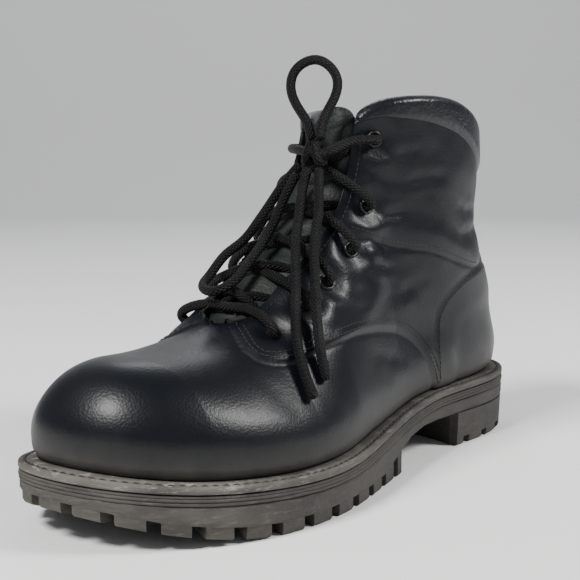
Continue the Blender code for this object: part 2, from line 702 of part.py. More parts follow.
def make_crossings(finish):
    """The laced part: a bar at the lowest pair and two strands that cross up the throat."""
    last = len(EYELETS) - 1
    routes = [over_throat((1, 0), (-1, 0))]
    for first in (1, -1):
        route = []
        for pair in range(last):
            side = first if pair % 2 == 0 else -first
            route += over_throat((side, pair), (-side, pair + 1))[0 if pair == 0 else 1:]
        routes.append(route)
    strands = []
    for number, route in enumerate(routes):
        count = 9 if number == 0 else 41
        path = through(np.array(route) / MM)(np.linspace(0, 1, count))
        strands.append(add_object(f"strand_{number}", *tube(path, LACE / 2), finish))
    crossings = strands[1]
    crossings.name = "lace_crossings"
    boolean(crossings, strands[2], "UNION")
    boolean(crossings, strands[0], "UNION")
    return crossings


def make_cord(name, points, finish, step):
    """A free stretch of lace: a smooth curve through its own points, in millimetres."""
    curve = through(points)
    length = np.linalg.norm(np.diff(curve(np.linspace(0, 1, 200)), axis=0), axis=1).sum()
    path = curve(np.linspace(0, 1, int(length / step) + 1))
    data = bpy.data.curves.new(name, "CURVE")
    data.dimensions = "3D"
    data.bevel_depth = LACE / 2
    data.bevel_resolution = 2
    data.use_fill_caps = True
    spline = data.splines.new("POLY")
    spline.points.add(len(path) - 1)
    for point, place in zip(spline.points, path):
        point.co = (*place, 1)
    data.materials.append(finish)
    made = bpy.data.objects.new(name, data)
    made.parent = boot
    bpy.context.scene.collection.objects.link(made)
    return made


KNOT = np.array([9.5, -8, 150])                 # centre of the bow's knot
KNOT_HALF = np.array([7, 5, 6.3])             # its half sizes
UPRIGHT_LOOP = [(7, -8, 157), (5.5, -8.5, 163), (1.5, -10, 170), (-1.5, -11.7, 178),
                (-0.8, -11.2, 185.5), (3, -8.5, 190.5), (8, -5, 192), (12.7, -1.5, 189),
                (15.5, 0.5, 183), (15.2, -0.5, 176), (13, -3.5, 169), (12, -6, 163),
                (12.3, -8, 157)]
HANGING_LOOP = [(2.5, -11.5, 144), (-2.5, -16, 136), (-8, -20, 126), (-12, -24.5, 117.5),
                (-14.8, -31, 110), (-18, -39.7, 104), (-19.7, -48.5, 95.5),
                (-18.2, -54.7, 91.7), (-12.7, -57.5, 90), (-6.8, -56, 91), (-3.3, -50.8, 94.5),
                (-2.5, -41.5, 102), (-2.5, -31.5, 110), (-1.5, -24.5, 119), (1, -20, 130),
                (4.5, -16, 140)]
LONG_END = [(9.8, -14.5, 142.5), (10, -18, 135), (11, -22, 124), (13.5, -27.5, 113.5),
            (18.4, -34.8, 105.5), (24.6, -42.5, 97), (29.5, -49.2, 86.5), (33, -53.5, 75.5), (37.5, -57, 67),
            (43, -60, 59), (48.5, -62, 51.5)]
SHORT_END = [(15.2, -13, 142.5), (16.7, -15, 134), (18.5, -18, 123), (22, -25.4, 112.3),
             (27.4, -32.8, 102.3), (33, -39.8, 93), (36.5, -43.5, 82), (39.5, -46, 73),
             (42.5, -48, 65), (46, -49.5, 57)]


def make_bow(finish):
    """The bow at the top of the throat: a knot, two loops and two hanging ends."""
    turn = np.arange(10) * 2 * np.pi / 10
    rings = []
    for rise in (-0.8, -0.35, 0.35, 0.8):
        spread = np.sqrt(1 - rise**2)
        ring = np.column_stack([np.cos(turn) * spread, np.sin(turn) * spread, np.full(10, rise)])
        rings.append((KNOT + ring * KNOT_HALF) * MM)
    faces = [tuple(range(10))[::-1], tuple(range(30, 40))]
    for level in range(3):
        faces += ring_faces(10, level * 10, (level + 1) * 10)
    add_object("lace_knot", np.vstack(rings), faces, finish)
    step = 2.6 * LACE
    make_cord("lace_loop_upright", UPRIGHT_LOOP, finish, 1.8 * LACE)
    make_cord("lace_loop_hanging", HANGING_LOOP, finish, step)
    make_cord("lace_end_long", LONG_END, finish, step)
    make_cord("lace_end_short", SHORT_END, finish, step)


# ---- The boot ------------------------------------------------------------------------------------
leather = material("black_leather", (0.012, 0.013, 0.016), 0.3)
padding = material("padded_leather", (0.014, 0.014, 0.016), 0.28)
tongue_leather = material("tongue_leather", (0.02, 0.022, 0.02), 0.5)
rubber = material("sole_rubber", (0.05, 0.048, 0.046), 0.75)
welt_rubber = material("welt_rubber", (0.09, 0.085, 0.08), 0.7)
insole_leather = material("insole_leather", (0.16, 0.11, 0.07), 0.8)
enamel = material("black_enamel", (0.01, 0.01, 0.01), 0.35, 0.6)
cord = material("black_cord", (0.012, 0.012, 0.013), 0.85)

make_outsole(rubber)
make_heel(rubber)
make_midsole(rubber)
make_welt(welt_rubber)
make_insole(insole_leather)
make_upper(leather)
make_collar(padding)
make_tongue(tongue_leather)
make_eyelets(enamel)
make_crossings(cord)
make_bow(cord)
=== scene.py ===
"""A left lace-up boot in polished black leather on a lugged rubber sole.

Lengths in the lists below are in millimetres, and MM turns them into metres. The boot's toe points
along -Y, its heel along +Y, and its outer side is +X.
"""

import bmesh
import bpy
import numpy as np
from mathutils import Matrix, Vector


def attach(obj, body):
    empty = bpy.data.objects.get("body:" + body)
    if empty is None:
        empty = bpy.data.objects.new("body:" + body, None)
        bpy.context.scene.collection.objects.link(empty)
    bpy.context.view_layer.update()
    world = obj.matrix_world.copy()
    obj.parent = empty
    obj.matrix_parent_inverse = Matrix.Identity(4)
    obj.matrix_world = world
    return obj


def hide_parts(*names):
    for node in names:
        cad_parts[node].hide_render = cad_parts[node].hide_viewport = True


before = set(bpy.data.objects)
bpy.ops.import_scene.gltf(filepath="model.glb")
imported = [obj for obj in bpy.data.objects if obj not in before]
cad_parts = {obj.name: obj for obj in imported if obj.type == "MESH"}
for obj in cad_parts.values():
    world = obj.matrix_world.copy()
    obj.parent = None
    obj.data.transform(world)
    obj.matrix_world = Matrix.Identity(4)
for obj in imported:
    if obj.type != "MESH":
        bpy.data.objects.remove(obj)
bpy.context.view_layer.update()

# ---- Camera ---------------------------------------------------------------------------------
# The boot is seen from in front of its toe's outer side, a little above the collar's height.
eye = Vector((0.3418, -0.4610, 0.1608))
aim = Vector((-0.002, -0.012, 0.0865))
camera_data = bpy.data.cameras.new("camera")
camera_data.lens = 76
camera_data.sensor_width = 36
camera = bpy.data.objects.new("camera", camera_data)
camera.location = eye
camera.rotation_euler = (aim - eye).to_track_quat("-Z", "Y").to_euler()
bpy.context.scene.collection.objects.link(camera)
bpy.context.scene.camera = camera

# ---- Free stretches of lace -----------------------------------------------------------------
# One round waxed cord, braided over a core and 4.4 mm thick. Above the knot it stands up in one
# stiff loop, a second loop hangs over the inner side, and the two cut ends hang on the outer side.
MM = 0.001
LACE = 4.4 * MM
LACE_SIDES = 20
WELD_GAP = 1e-5


def natural_spline(knots, values):
    """f(x): the natural cubic through the values at the knots, its bends from a linear system."""
    knots = np.asarray(knots, float)
    values = np.asarray(values, float)
    count = len(knots)
    steps = np.diff(knots)
    slopes = (np.diff(values, axis=0).T / steps).T
    matrix = np.eye(count)
    right = np.zeros_like(values)
    for i in range(1, count - 1):
        matrix[i, i - 1:i + 2] = steps[i - 1], 2 * (steps[i - 1] + steps[i]), steps[i]
        right[i] = 6 * (slopes[i] - slopes[i - 1])
    bends = np.linalg.solve(matrix, right)

    def curve(x):
        x = np.clip(np.asarray(x, float), knots[0], knots[-1])
        i = np.clip(np.searchsorted(knots, x, side="right") - 1, 0, count - 2)
        h = steps[i]
        b = (x - knots[i]) / h
        if values.ndim > 1:
            h = h[..., None]
            b = b[..., None]
        a = 1 - b
        bend = (a**3 - a) * bends[i] + (b**3 - b) * bends[i + 1]
        return a * values[i] + b * values[i + 1] + bend * h**2 / 6

    return curve


def walked_along(points):
    """The length walked from the first point to each point."""
    return np.concatenate([[0], np.cumsum(np.linalg.norm(np.diff(points, axis=0), axis=1))])


def through(points):
    """f(t), t from 0 to 1: the smooth curve through points in millimetres, by their spacing."""
    points = np.array(points, float) * MM
    knots = walked_along(points)
    return natural_spline(knots / knots[-1], points)


def unit(vectors):
    """The vectors divided by their lengths."""
    return vectors / np.maximum(np.linalg.norm(vectors, axis=-1, keepdims=True), 1e-12)


def full_turn(count):
    """Angles evenly round a full circle, from 0."""
    return np.arange(count) * 2 * np.pi / count


def grid_quads(rows, columns, around=False, looped=False):
    """Corner numbers of the quads of a grid stored row by row. around joins its last column to
    its first, and looped its last row to its first."""
    i, j = np.meshgrid(np.arange(rows if looped else rows - 1),
                       np.arange(columns if around else columns - 1), indexing="ij")
    above = (i + 1) % rows
    after = (j + 1) % columns
    corners = [i * columns + j, i * columns + after, above * columns + after, above * columns + j]
    return np.stack(corners, axis=-1).reshape(-1, 4)


def welded(points, quads):
    """Points closer than the weld gap made one, quads whose corners then fall together at one
    side made triangles, and those that fold up further dropped."""
    _, first, place = np.unique(np.round(points / WELD_GAP).astype(np.int64), axis=0,
                                return_index=True, return_inverse=True)
    quads = place.reshape(-1)[quads]
    corners = 1 + (np.diff(np.sort(quads, axis=1), axis=1) != 0).sum(axis=1)
    folded = quads[corners == 3]
    repeats = folded == np.roll(folded, 1, axis=1)
    shift = (np.argmax(repeats, axis=1)[:, None] + np.arange(1, 4)) % 4
    thirds = np.take_along_axis(folded, shift, axis=1)[repeats.any(axis=1)]
    return points[first], quads[corners == 4], thirds


def new_piece(name, points, quads, finish, thirds=()):
    """A smooth mesh object from arrays of points, quads and triangles, riding on the boot."""
    mesh = bpy.data.meshes.new(name)
    faces = np.asarray(quads, int).tolist() + np.asarray(thirds, int).reshape(-1, 3).tolist()
    mesh.from_pydata(np.asarray(points, float).reshape(-1, 3).tolist(), [], faces)
    mesh.polygons.foreach_set("use_smooth", np.ones(len(mesh.polygons), bool))
    mesh.materials.append(finish)
    mesh.update()
    piece = bpy.data.objects.new(name, mesh)
    bpy.context.scene.collection.objects.link(piece)
    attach(piece, "root")
    return piece


def write_uv(piece, coordinates):
    """Give the piece a UV map from one (u, v) pair for each of its vertices."""
    mesh = piece.data
    corner = np.zeros(len(mesh.loops), int)
    mesh.loops.foreach_get("vertex_index", corner)
    layer = mesh.uv_layers.new(name="cloth")
    layer.data.foreach_set("uv", np.asarray(coordinates, float)[corner].ravel())


def write_attribute(piece, name, values):
    """Store one number for each vertex under a name that the material reads."""
    layer = piece.data.attributes.new(name, "FLOAT", "POINT")
    layer.data.foreach_set("value", np.asarray(values, np.float32))


def cord_tube(path, lean, closed):
    """A round tube: ring i sits at path point i, square to the path. Its first spoke is the cross
    product of the direction and lean, its second the cross product of the two. The end rings
    shrink on a quarter circle to a point, unless the path is closed. Returns points, quads and
    (u, v) with u round the tube and v the length over the circumference."""
    radius = LACE / 2
    ahead = unit(np.gradient(path, axis=0))
    if closed:
        ahead = unit(np.roll(path, -1, axis=0) - np.roll(path, 1, axis=0))
    radii = np.full(len(path), radius)
    if not closed:
        tip = np.array([0.0, 0.45, 0.72, 0.9, 1.0])
        depth = 0.55 * radius * np.array([1.0, 0.85, 0.6, 0.3, 0.0])
        path = np.vstack([path[0] - ahead[0] * depth[:, None], path[1:-1],
                          path[-1] + ahead[-1] * depth[::-1, None]])
        ahead = np.vstack([np.repeat(ahead[:1], len(tip), axis=0), ahead[1:-1],
                           np.repeat(ahead[-1:], len(tip), axis=0)])
        radii = np.concatenate([radius * tip, radii[1:-1], radius * tip[::-1]])
    across = unit(np.cross(ahead, lean))
    up = np.cross(across, ahead)
    turn = full_turn(LACE_SIDES)
    spokes = across[:, None] * np.cos(turn)[:, None] + up[:, None] * np.sin(turn)[:, None]
    points = path[:, None] + spokes * radii[:, None, None]
    walked = walked_along(path)
    u = np.broadcast_to(np.arange(LACE_SIDES) / LACE_SIDES, points.shape[:2])
    v = np.broadcast_to((walked / (2 * np.pi * radius))[:, None], points.shape[:2])
    quads = grid_quads(len(path), LACE_SIDES, around=True, looped=closed)[:, ::-1]
    return points.reshape(-1, 3), quads, np.stack([u, v], axis=-1).reshape(-1, 2)


class Wire:
    """A node's socket in arithmetic: each operator adds one Math node to the same tree."""

    def __init__(self, tree, socket):
        self.tree = tree
        self.socket = socket

    def math(self, operation, first, second=0.0, clamp=False):
        made = self.tree.nodes.new("ShaderNodeMath")
        made.operation = operation
        made.use_clamp = clamp
        for socket, value in zip(made.inputs, (first, second)):
            if isinstance(value, Wire):
                self.tree.links.new(value.socket, socket)
            else:
                socket.default_value = value
        return Wire(self.tree, made.outputs[0])

    def __add__(self, other):
        return self.math("ADD", self, other)

    def __radd__(self, other):
        return self.math("ADD", other, self)

    def __sub__(self, other):
        return self.math("SUBTRACT", self, other)

    def __rsub__(self, other):
        return self.math("SUBTRACT", other, self)

    def __mul__(self, other):
        return self.math("MULTIPLY", self, other)

    def __rmul__(self, other):
        return self.math("MULTIPLY", other, self)

    def sine(self):
        return self.math("SINE", self)

    def size(self):
        return self.math("ABSOLUTE", self)

    def between(self, low, high):
        """0 below low, 1 above high, and a straight rise between them."""
        return self.math("MULTIPLY", self - low, 1 / (high - low), clamp=True)


class Finish:
    """A Principled material. Keyword values are constants of its sockets, and where is the place
    in the piece's own metres."""

    def __init__(self, name, **constants):
        self.material = bpy.data.materials.new(name)
        self.material.use_nodes = True
        self.tree = self.material.node_tree
        self.shader = self.tree.nodes["Principled BSDF"]
        for key, value in constants.items():
            self.shader.inputs[key.replace("_", " ")].default_value = value
        self.where = self.node("TexCoord", {}, "Object")

    def node(self, kind, settings=None, output=0, **values):
        """Add a node by its type, settings and input values or links, and return one output."""
        made = self.tree.nodes.new("ShaderNode" + kind)
        for key, value in (settings or {}).items():
            setattr(made, key, value)
        for key, value in values.items():
            socket = next(s for s in made.inputs
                          if key in (s.identifier, s.name.replace(" ", "_")))
            if isinstance(value, Wire):
                self.tree.links.new(value.socket, socket)
            else:
                socket.default_value = value
        if isinstance(output, int):
            return Wire(self.tree, made.outputs[output])
        return Wire(self.tree, next(s for s in made.outputs if output in (s.identifier, s.name)))

    def noise(self, scale, detail, **values):
        """Cloudy noise from 0 to 1 over the piece."""
        return self.node("TexNoise", {}, "Fac", Vector=self.where, Scale=scale, Detail=detail,
                         **values)

    def pores(self, scale):
        """Cells that rise from 0 at each one's middle."""
        return self.node("TexVoronoi", {}, "Distance", Vector=self.where, Scale=scale)

    def mix(self, share, low, high):
        """The colour between low and high at the given share."""
        return self.node("Mix", {"data_type": "RGBA"}, "Result_Color", Factor_Float=share,
                         A_Color=low, B_Color=high)

    def done(self, colour, roughness, height=None, depth=0.0):
        """Link what varies over the surface: colour, roughness and the bump's height."""
        self.tree.links.new(colour.socket, self.shader.inputs["Base Color"])
        self.tree.links.new(roughness.socket, self.shader.inputs["Roughness"])
        if height is not None:
            bump = self.node("Bump", {}, "Normal", Height=height, Strength=1.0, Distance=depth)
            self.tree.links.new(bump.socket, self.shader.inputs["Normal"])
        return self.material


def waxed_cord():
    """Braided waxed cord: two families of strands cross in a diamond pattern along the UV map."""
    finish = Finish("waxed_cord", Specular_IOR_Level=0.18)
    place = finish.node("UVMap", {"uv_map": "cloth"})
    u = finish.node("SeparateXYZ", {}, "X", Vector=place)
    v = finish.node("SeparateXYZ", {}, "Y", Vector=place)
    right = ((u * 4 + v * 3.5) * 6.28318).sine()
    left = ((u * 4 - v * 3.5) * 6.28318).sine()
    braid = (right * left).size()
    fuzz = finish.noise(2600.0, 2.0)
    worn = finish.noise(55.0, 3.0)
    dusty = worn.between(0.5, 0.75) * 0.5 + braid * 0.25
    colour = finish.mix(dusty, (0.004, 0.004, 0.0045, 1), (0.018, 0.0175, 0.0175, 1))
    return finish.done(colour, 0.42 + 0.22 * fuzz + 0.1 * dusty, braid + 0.2 * fuzz, 0.0006)


cord_finish = waxed_cord()
KNOT = np.array([9.5, -8, 150])
UPRIGHT_LOOP = [(7, -8, 157), (5.5, -8.5, 163), (1.5, -10, 170), (-1.5, -11.7, 178),
                (-0.8, -11.2, 185.5), (3, -8.5, 190.5), (8, -5, 192), (12.7, -1.5, 189),
                (15.5, 0.5, 183), (15.2, -0.5, 176), (13, -3.5, 169), (12, -6, 163),
                (12.3, -8, 157)]
HANGING_LOOP = [(2.5, -11.5, 144), (-2.5, -16, 136), (-8, -20, 126), (-12, -24.5, 117.5),
                (-14.8, -31, 110), (-18, -39.7, 104), (-19.7, -48.5, 95.5),
                (-18.2, -54.7, 91.7), (-12.7, -57.5, 90), (-6.8, -56, 91), (-3.3, -50.8, 94.5),
                (-2.5, -41.5, 102), (-2.5, -31.5, 110), (-1.5, -24.5, 119), (1, -20, 130),
                (4.5, -16, 140)]
LONG_END = [(9.8, -14.5, 142.5), (10, -18, 135), (11, -22, 124), (13.5, -27.5, 113.5),
            (18.4, -34.8, 105.5), (24.6, -42.5, 97), (29.5, -49.2, 86.5), (33, -53.5, 75.5),
            (37.5, -57, 67), (43, -60, 59), (48.5, -62, 51.5)]
SHORT_END = [(15.2, -13, 142.5), (16.7, -15, 134), (18.5, -18, 123), (22, -25.4, 112.3),
             (27.4, -32.8, 102.3), (33, -39.8, 93), (36.5, -43.5, 82), (39.5, -46, 73),
             (42.5, -48, 65), (46, -49.5, 57)]


def lace_piece(name, node, parts):
    """One piece of lace from tubes: for each its path, its lean and whether it is closed."""
    points = []
    quads = []
    coordinates = []
    start = 0
    for path, lean, closed in parts:
        some, faces, where = cord_tube(path, lean, closed)
        points.append(some)
        quads.append(faces + start)
        coordinates.append(where)
        start += len(some)
    piece = new_piece(name, np.vstack(points), np.vstack(quads), cord_finish)
    write_uv(piece, np.vstack(coordinates))
    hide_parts(node)
    return piece


def bow_knot():
    """The knot: two closed rings of lace round a short thick strand that runs from side to side.
    Each ring is a circle squeezed to an oval and tilted about the vertical."""
    turn = full_turn(48)
    parts = []
    for shift, tilt, high in ((-2.6, 0.35, 4.0), (2.4, -0.3, 4.2)):
        ring = np.stack([np.sin(turn) * 3.4 * np.sin(tilt) + shift, np.cos(turn) * 2.9,
                         np.sin(turn) * high], axis=-1)
        parts.append(((KNOT + ring) * MM, (1, 0.15, 0), True))
    strand = through(KNOT + np.array([(-5, 0.3, -1), (-2.5, -1.5, 0.5), (0, -2.6, 0.8),
                                      (2.5, -1.5, 0), (5, 0.6, -0.6)]))
    parts.append((strand(np.linspace(0, 1, 24)), (0, 0.1, 1), False))
    return lace_piece("bow_knot", "lace_knot", parts)


def free_lace(name, node, route, lean):
    """One free stretch of lace as a tube along its route."""
    path = through(route)(np.linspace(0, 1, 140))
    piece = lace_piece(name, node, [(path, lean, False)])


knot = bow_knot()
free_lace("loop_upright", "lace_loop_upright", UPRIGHT_LOOP, (-0.58, 0.82, 0.05))
free_lace("loop_hanging", "lace_loop_hanging", HANGING_LOOP, (0.1, -0.62, 0.78))
free_lace("end_long", "lace_end_long", LONG_END, (0.4, 0.65, 0.65))
free_lace("end_short", "lace_end_short", SHORT_END, (0.4, 0.65, 0.65))

# ---- The last -------------------------------------------------------------------------------
# The wooden form that the boot is pulled over. Its feather line is where upper and sole meet; the
# ridge, the throat's edges and the collar's edges are where the leather ends or folds over.
FEATHER = [
    (-12, -146), (12, -140), (32, -122), (44.5, -98), (51, -70), (51, -45), (45.5, -15),
    (38, 20), (34, 55), (34.5, 92), (31.5, 120), (20, 139), (0, 146), (-20, 139), (-31.5, 120),
    (-33, 90), (-31, 55), (-32, 20), (-38, -15), (-45.5, -45), (-50.5, -75), (-51, -100),
    (-45, -126), (-31, -142),
]
POLE = np.array([-9, -112, 69]) * MM
THROAT_Y = -60 * MM
FRONT_Y = 27 * MM


def height(y_list, z_list):
    """z(y), the smooth height along the boot through stations in millimetres."""
    return natural_spline(np.array(y_list) * MM, np.array(z_list) * MM)


ridge_z = height([-112, -97, -82, -70, -60], [69, 69, 70.5, 73, 76.5])
ridge_x = height([-112, -90, -60], [-9, -8, -6])
feather_z = height([-152, -120, -90, -60, -20, 20, 60, 100, 152],
                   [31, 26, 23.5, 22.5, 24.5, 28.5, 31.5, 32.5, 33])
throat_edge = {
    1: through([(-6, -60, 76.5), (2, -59, 77.5), (7, -54, 80), (11.5, -41, 90), (14.5, -26, 101.5),
                (17, -12, 114), (18.5, 0, 131), (20, 5, 150), (21, 7, 164)]),
    -1: through([(-6, -60, 76.5), (-13, -59, 77.5), (-17, -54, 80), (-17, -41, 90),
                 (-16.5, -26, 101.5), (-17, -12, 114), (-15.5, 0, 131), (-10, 5, 149),
                 (-9, 7, 159)]),
}
collar_edge = {
    1: through([(21, 7, 164), (31, 20, 167.5), (39.5, 44, 168.5), (41, 71, 163.5),
                (34, 97, 151), (18, 112.5, 141), (0, 117.5, 138.5)]),
    -1: through([(-9, 7, 159), (-19, 20, 160.5), (-28.5, 44, 162), (-32, 71, 158.5),
                 (-27.5, 97, 149), (-15, 112.5, 141), (0, 117.5, 138.5)]),
}


def feather_sides():
    """The closed feather line as dense points with outward normals, split at toe and heel: for
    each side the line and its normals with y rising."""
    points = np.array(FEATHER, float) * MM
    wrapped = np.vstack([points[-4:], points, points[:5]])
    knots = walked_along(wrapped)
    curve = natural_spline(knots, wrapped)
    t = np.linspace(knots[4], knots[4 + len(points)], 3001)
    tangent = unit(curve(t + 1e-5) - curve(t - 1e-5))
    line = curve(t)
    normal = np.stack([tangent[:, 1], -tangent[:, 0]], axis=1)
    toe = np.argmin(line[:, 1])
    line = np.roll(line[:-1], -toe, axis=0)
    normal = np.roll(normal[:-1], -toe, axis=0)
    heel = np.argmax(line[:, 1])
    inner = (np.vstack([line[heel:], line[:1]])[::-1], np.vstack([normal[heel:], normal[:1]])[::-1])
    return {1: (line[:heel + 1], normal[:heel + 1]), -1: inner}


SIDES = feather_sides()
TOE_Y = SIDES[1][0][0, 1]
HEEL_Y = SIDES[1][0][-1, 1]


def station_y(s):
    """Stations from toe, s = 0, to heel, s = 1, closer together at both rounded ends."""
    return TOE_Y + (HEEL_Y - TOE_Y) * (1 - np.cos(np.pi * s)) / 2


def station_s(y):
    """The inverse of station_y."""
    return np.arccos(np.clip(1 - 2 * (y - TOE_Y) / (HEEL_Y - TOE_Y), -1, 1)) / np.pi


def read_off(at, places, values):
    """The rows of values read off between the places that they belong to."""
    return np.stack([np.interp(at, places, column) for column in values.T], axis=-1)


def feather(side, s):
    """The feather line's plan point and outward normal at stations s of one side."""
    line, normal = SIDES[side]
    y = station_y(s)
    plan = np.stack([np.interp(y, line[:, 1], line[:, 0]), y], axis=-1)
    return plan, unit(read_off(y, line[:, 1], normal))


def rib_top(side, s):
    """The upper end of each rib: toe crown, then ridge, then throat edge, then collar edge."""
    y = station_y(s)
    front = station_s(FRONT_Y)
    throat = throat_edge[side]((y - THROAT_Y) / (FRONT_Y - THROAT_Y))
    collar = collar_edge[side]((s - front) / (1 - front))
    ridge = np.stack([ridge_x(y), y, ridge_z(y)], axis=-1)
    top = np.where((y < FRONT_Y)[..., None], throat, collar)
    top = np.where((y < THROAT_Y)[..., None], ridge, top)
    return np.where((y < POLE[1])[..., None], POLE, top)


def hump(x, centre, width):
    """A smooth hump of height 1 at the centre."""
    return np.exp(-((x - centre) / width)**2)


def swell(side, y, z, s):
    """How far the leather stands out from the plain rib, level with the floor: over the sole's
    edge, the heel and the ankle bone, with the tendon's hollow taken away."""
    above = z - feather_z(y)
    back = hump(s, 1, 0.2)
    out = 2.2 * MM * hump(above, 15 * MM, 13 * MM)
    out += 2.8 * MM * back * hump(z, 66 * MM, 26 * MM)
    out -= 6.5 * MM * back * hump(z, 112 * MM, 18 * MM)
    out += 3.2 * MM * hump(y, (74 if side > 0 else 66) * MM, 26 * MM) * hump(z, 104 * MM, 24 * MM)
    if side < 0:
        out -= 2.5 * MM * hump(y, 25 * MM, 32 * MM) * hump(z, 46 * MM, 16 * MM)
    return out * np.clip(above / (3 * MM), 0, 1)


def last_point(side, s, v):
    """A point of the last's surface. s runs from toe to heel, v from feather line to top edge.
    Each rib rises upright and bends over to its top on a superellipse in the vamp, and is nearly
    straight in the shaft; the swell then pushes it out."""
    s, v = np.broadcast_arrays(np.asarray(s, float), np.asarray(v, float))
    plan, outward = feather(side, s)
    y = plan[..., 1]
    foot = np.concatenate([plan, feather_z(y)[..., None]], axis=-1)
    top = rib_top(side, s)
    front = station_s(FRONT_Y)
    roundness = np.interp(y, [-56 * MM, -28 * MM, 0, 27 * MM], [1, 0.86, 0.5, 0.26])
    shaft = np.interp((s - front) / (1 - front), [0, 0.25, 1], [0.26, 0.06, 0])
    roundness = np.where(s > front, shaft, roundness)
    power = 2 / np.interp(y, [-112 * MM, -80 * MM, -40 * MM], [2.55, 2.3, 2.0])
    angle = v * np.pi / 2
    across = (1 - roundness) * v + roundness * (1 - np.cos(angle)**power)
    up = (1 - roundness) * v + roundness * np.sin(angle)**power
    level = foot[..., :2] + (top - foot)[..., :2] * across[..., None]
    z = foot[..., 2] + (top - foot)[..., 2] * up
    fade = 1 - np.clip((v - 0.75) / 0.25, 0, 1)**2
    level = level + outward * (swell(side, y, z, s) * fade)[..., None]
    return np.concatenate([level, z[..., None]], axis=-1)


def last_normal(side, s, v):
    """Unit outward normal of last_point, by small steps along s and v."""
    step = 1e-4
    s, v = np.broadcast_arrays(np.asarray(s, float), np.asarray(v, float))
    s = np.clip(s, 2 * step, 1 - 2 * step)
    v = np.clip(v, 2 * step, 1 - 2 * step)
    along = last_point(side, s + step, v) - last_point(side, s - step, v)
    up = last_point(side, s, v + step) - last_point(side, s, v - step)
    return unit(np.cross(along, up) * side)


def throat_s(share):
    """The station at a share of the way up the throat."""
    return station_s(THROAT_Y + share * (FRONT_Y - THROAT_Y))


def beside_throat(side, share, inward):
    """Stations (s, v) of the leather's point at a distance in from the throat's edge."""
    edge_s = throat_s(share)
    edge = last_point(side, edge_s, 1.0)
    ahead = last_point(side, edge_s + 0.003, 1.0) - last_point(side, edge_s - 0.003, 1.0)
    away = unit(np.cross(last_normal(side, edge_s, 0.995), ahead) * -side)
    s, v = np.meshgrid(np.linspace(edge_s - 0.1, edge_s + 0.2, 241), np.linspace(0.4, 1, 241))
    gaps = np.linalg.norm(last_point(side, s, v) - (edge + away * inward), axis=-1)
    nearest = np.argmin(gaps)
    return s.flat[nearest], v.flat[nearest]


EYELETS = ((0.14, 18 * MM), (0.27, 18 * MM), (0.42, 17.5 * MM), (0.58, 17 * MM), (0.73, 15.5 * MM),
           (0.95, 11 * MM))


def eyelet_places(side):
    """Centre and outward normal of each eyelet, up one side of the throat."""
    stations = [beside_throat(side, share, inward) for share, inward in EYELETS]
    return [(last_point(side, s, v), last_normal(side, s, v)) for s, v in stations]


PLACES = {side: eyelet_places(side) for side in (1, -1)}

# ---- Upper ----------------------------------------------------------------------------------
# Smooth black leather 2.4 mm thick, lasted wet over the form: a plain vamp, two quarters that
# overlap it with rounded tabs below the lowest eyelets, an ankle panel and a heel counter.
LEATHER = 2.4 * MM
SURFACE = {side: last_point(side, np.linspace(0, 1, 500)[:, None], np.linspace(0, 1, 220)[None])
           .reshape(-1, 3) for side in (1, -1)}


def on_last(side, points):
    """A line on the last near points in millimetres: the surface points nearest to 150 points of
    the smooth curve, smoothed. Points (y, z) are as the side view shows them. Points (x, y, z) are
    those of the outer side, and the inner side mirrors them about the ridge."""
    solid = len(points[0]) == 3
    if solid:
        line = [(x if side > 0 else -9 - 0.9 * x, y, z) for x, y, z in points]
    else:
        line = [(0, y, z) for y, z in points]
    line = through(line)(np.linspace(0, 1, 150))
    surface = SURFACE[side]
    first = 0 if solid else 1
    gaps = ((line[:, None, first:] - surface[None, :, first:])**2).sum(axis=-1)
    nearest = surface[gaps.argmin(axis=1)]
    smoothing = np.hanning(17)[1:-1] / np.hanning(17).sum()
    smooth = [np.convolve(np.pad(nearest[:, i], 7, mode="edge"), smoothing, mode="valid")
              for i in range(3)]
    return np.stack(smooth, axis=-1)


def squared_gaps(first, second):
    """Squared distance of each of the first points to each of the second ones."""
    return (first**2).sum(axis=1)[:, None] + (second**2).sum(axis=1) - 2 * first @ second.T


def near_line(line, points, normals):
    """Distance of each point to the line, the same signed (positive on the left of the line's
    direction as seen from outside), and the share of the way along it."""
    squares = squared_gaps(points, line)
    nearest = squares.argmin(axis=1)
    tangent = unit(np.gradient(line, axis=0))[nearest]
    left = unit(np.cross(normals, tangent))
    apart = points - line[nearest]
    signed = (apart * left).sum(axis=1)
    distance = np.sqrt(np.maximum(squares.min(axis=1), 0))
    return distance, signed, nearest / (len(line) - 1)


def smooth_step(x):
    """0 below 0, 1 above 1, and 3x^2 - 2x^3 between."""
    x = np.clip(x, 0, 1)
    return (3 - 2 * x) * x**2


def vertex_normals(points, quads):
    """Unit normals of vertices, from the crossed diagonals of the quads round each."""
    a, b, c, d = (points[quads[:, i]] for i in range(4))
    flat = np.cross(c - a, d - b)
    total = np.zeros_like(points)
    for i in range(4):
        np.add.at(total, quads[:, i], flat)
    return unit(total)


QUARTER = [(-2, -59.5, 76.5), (3, -61, 76), (9, -64.5, 74.5), (16, -69, 70), (23, -72, 67),
           (28.5, -70, 64.5), (33, -63, 64), (35, -56, 64), (37, -47, 66.5), (39, -34, 69),
           (38, -15, 71), (35, 7, 69.5), (34, 30, 65), (35, 43, 57), (36, 54, 42), (35, 60, 32)]
ANKLE = [(-8, 117), (-3, 115), (6, 112), (18, 108), (33, 105), (51, 102), (68, 97), (82, 93),
         (92, 91), (99, 91), (106, 96)]
COUNTER = [(120, 90), (108, 90), (96, 89), (79, 85), (69, 80), (61, 72), (58, 61), (57, 49),
           (60, 32)]
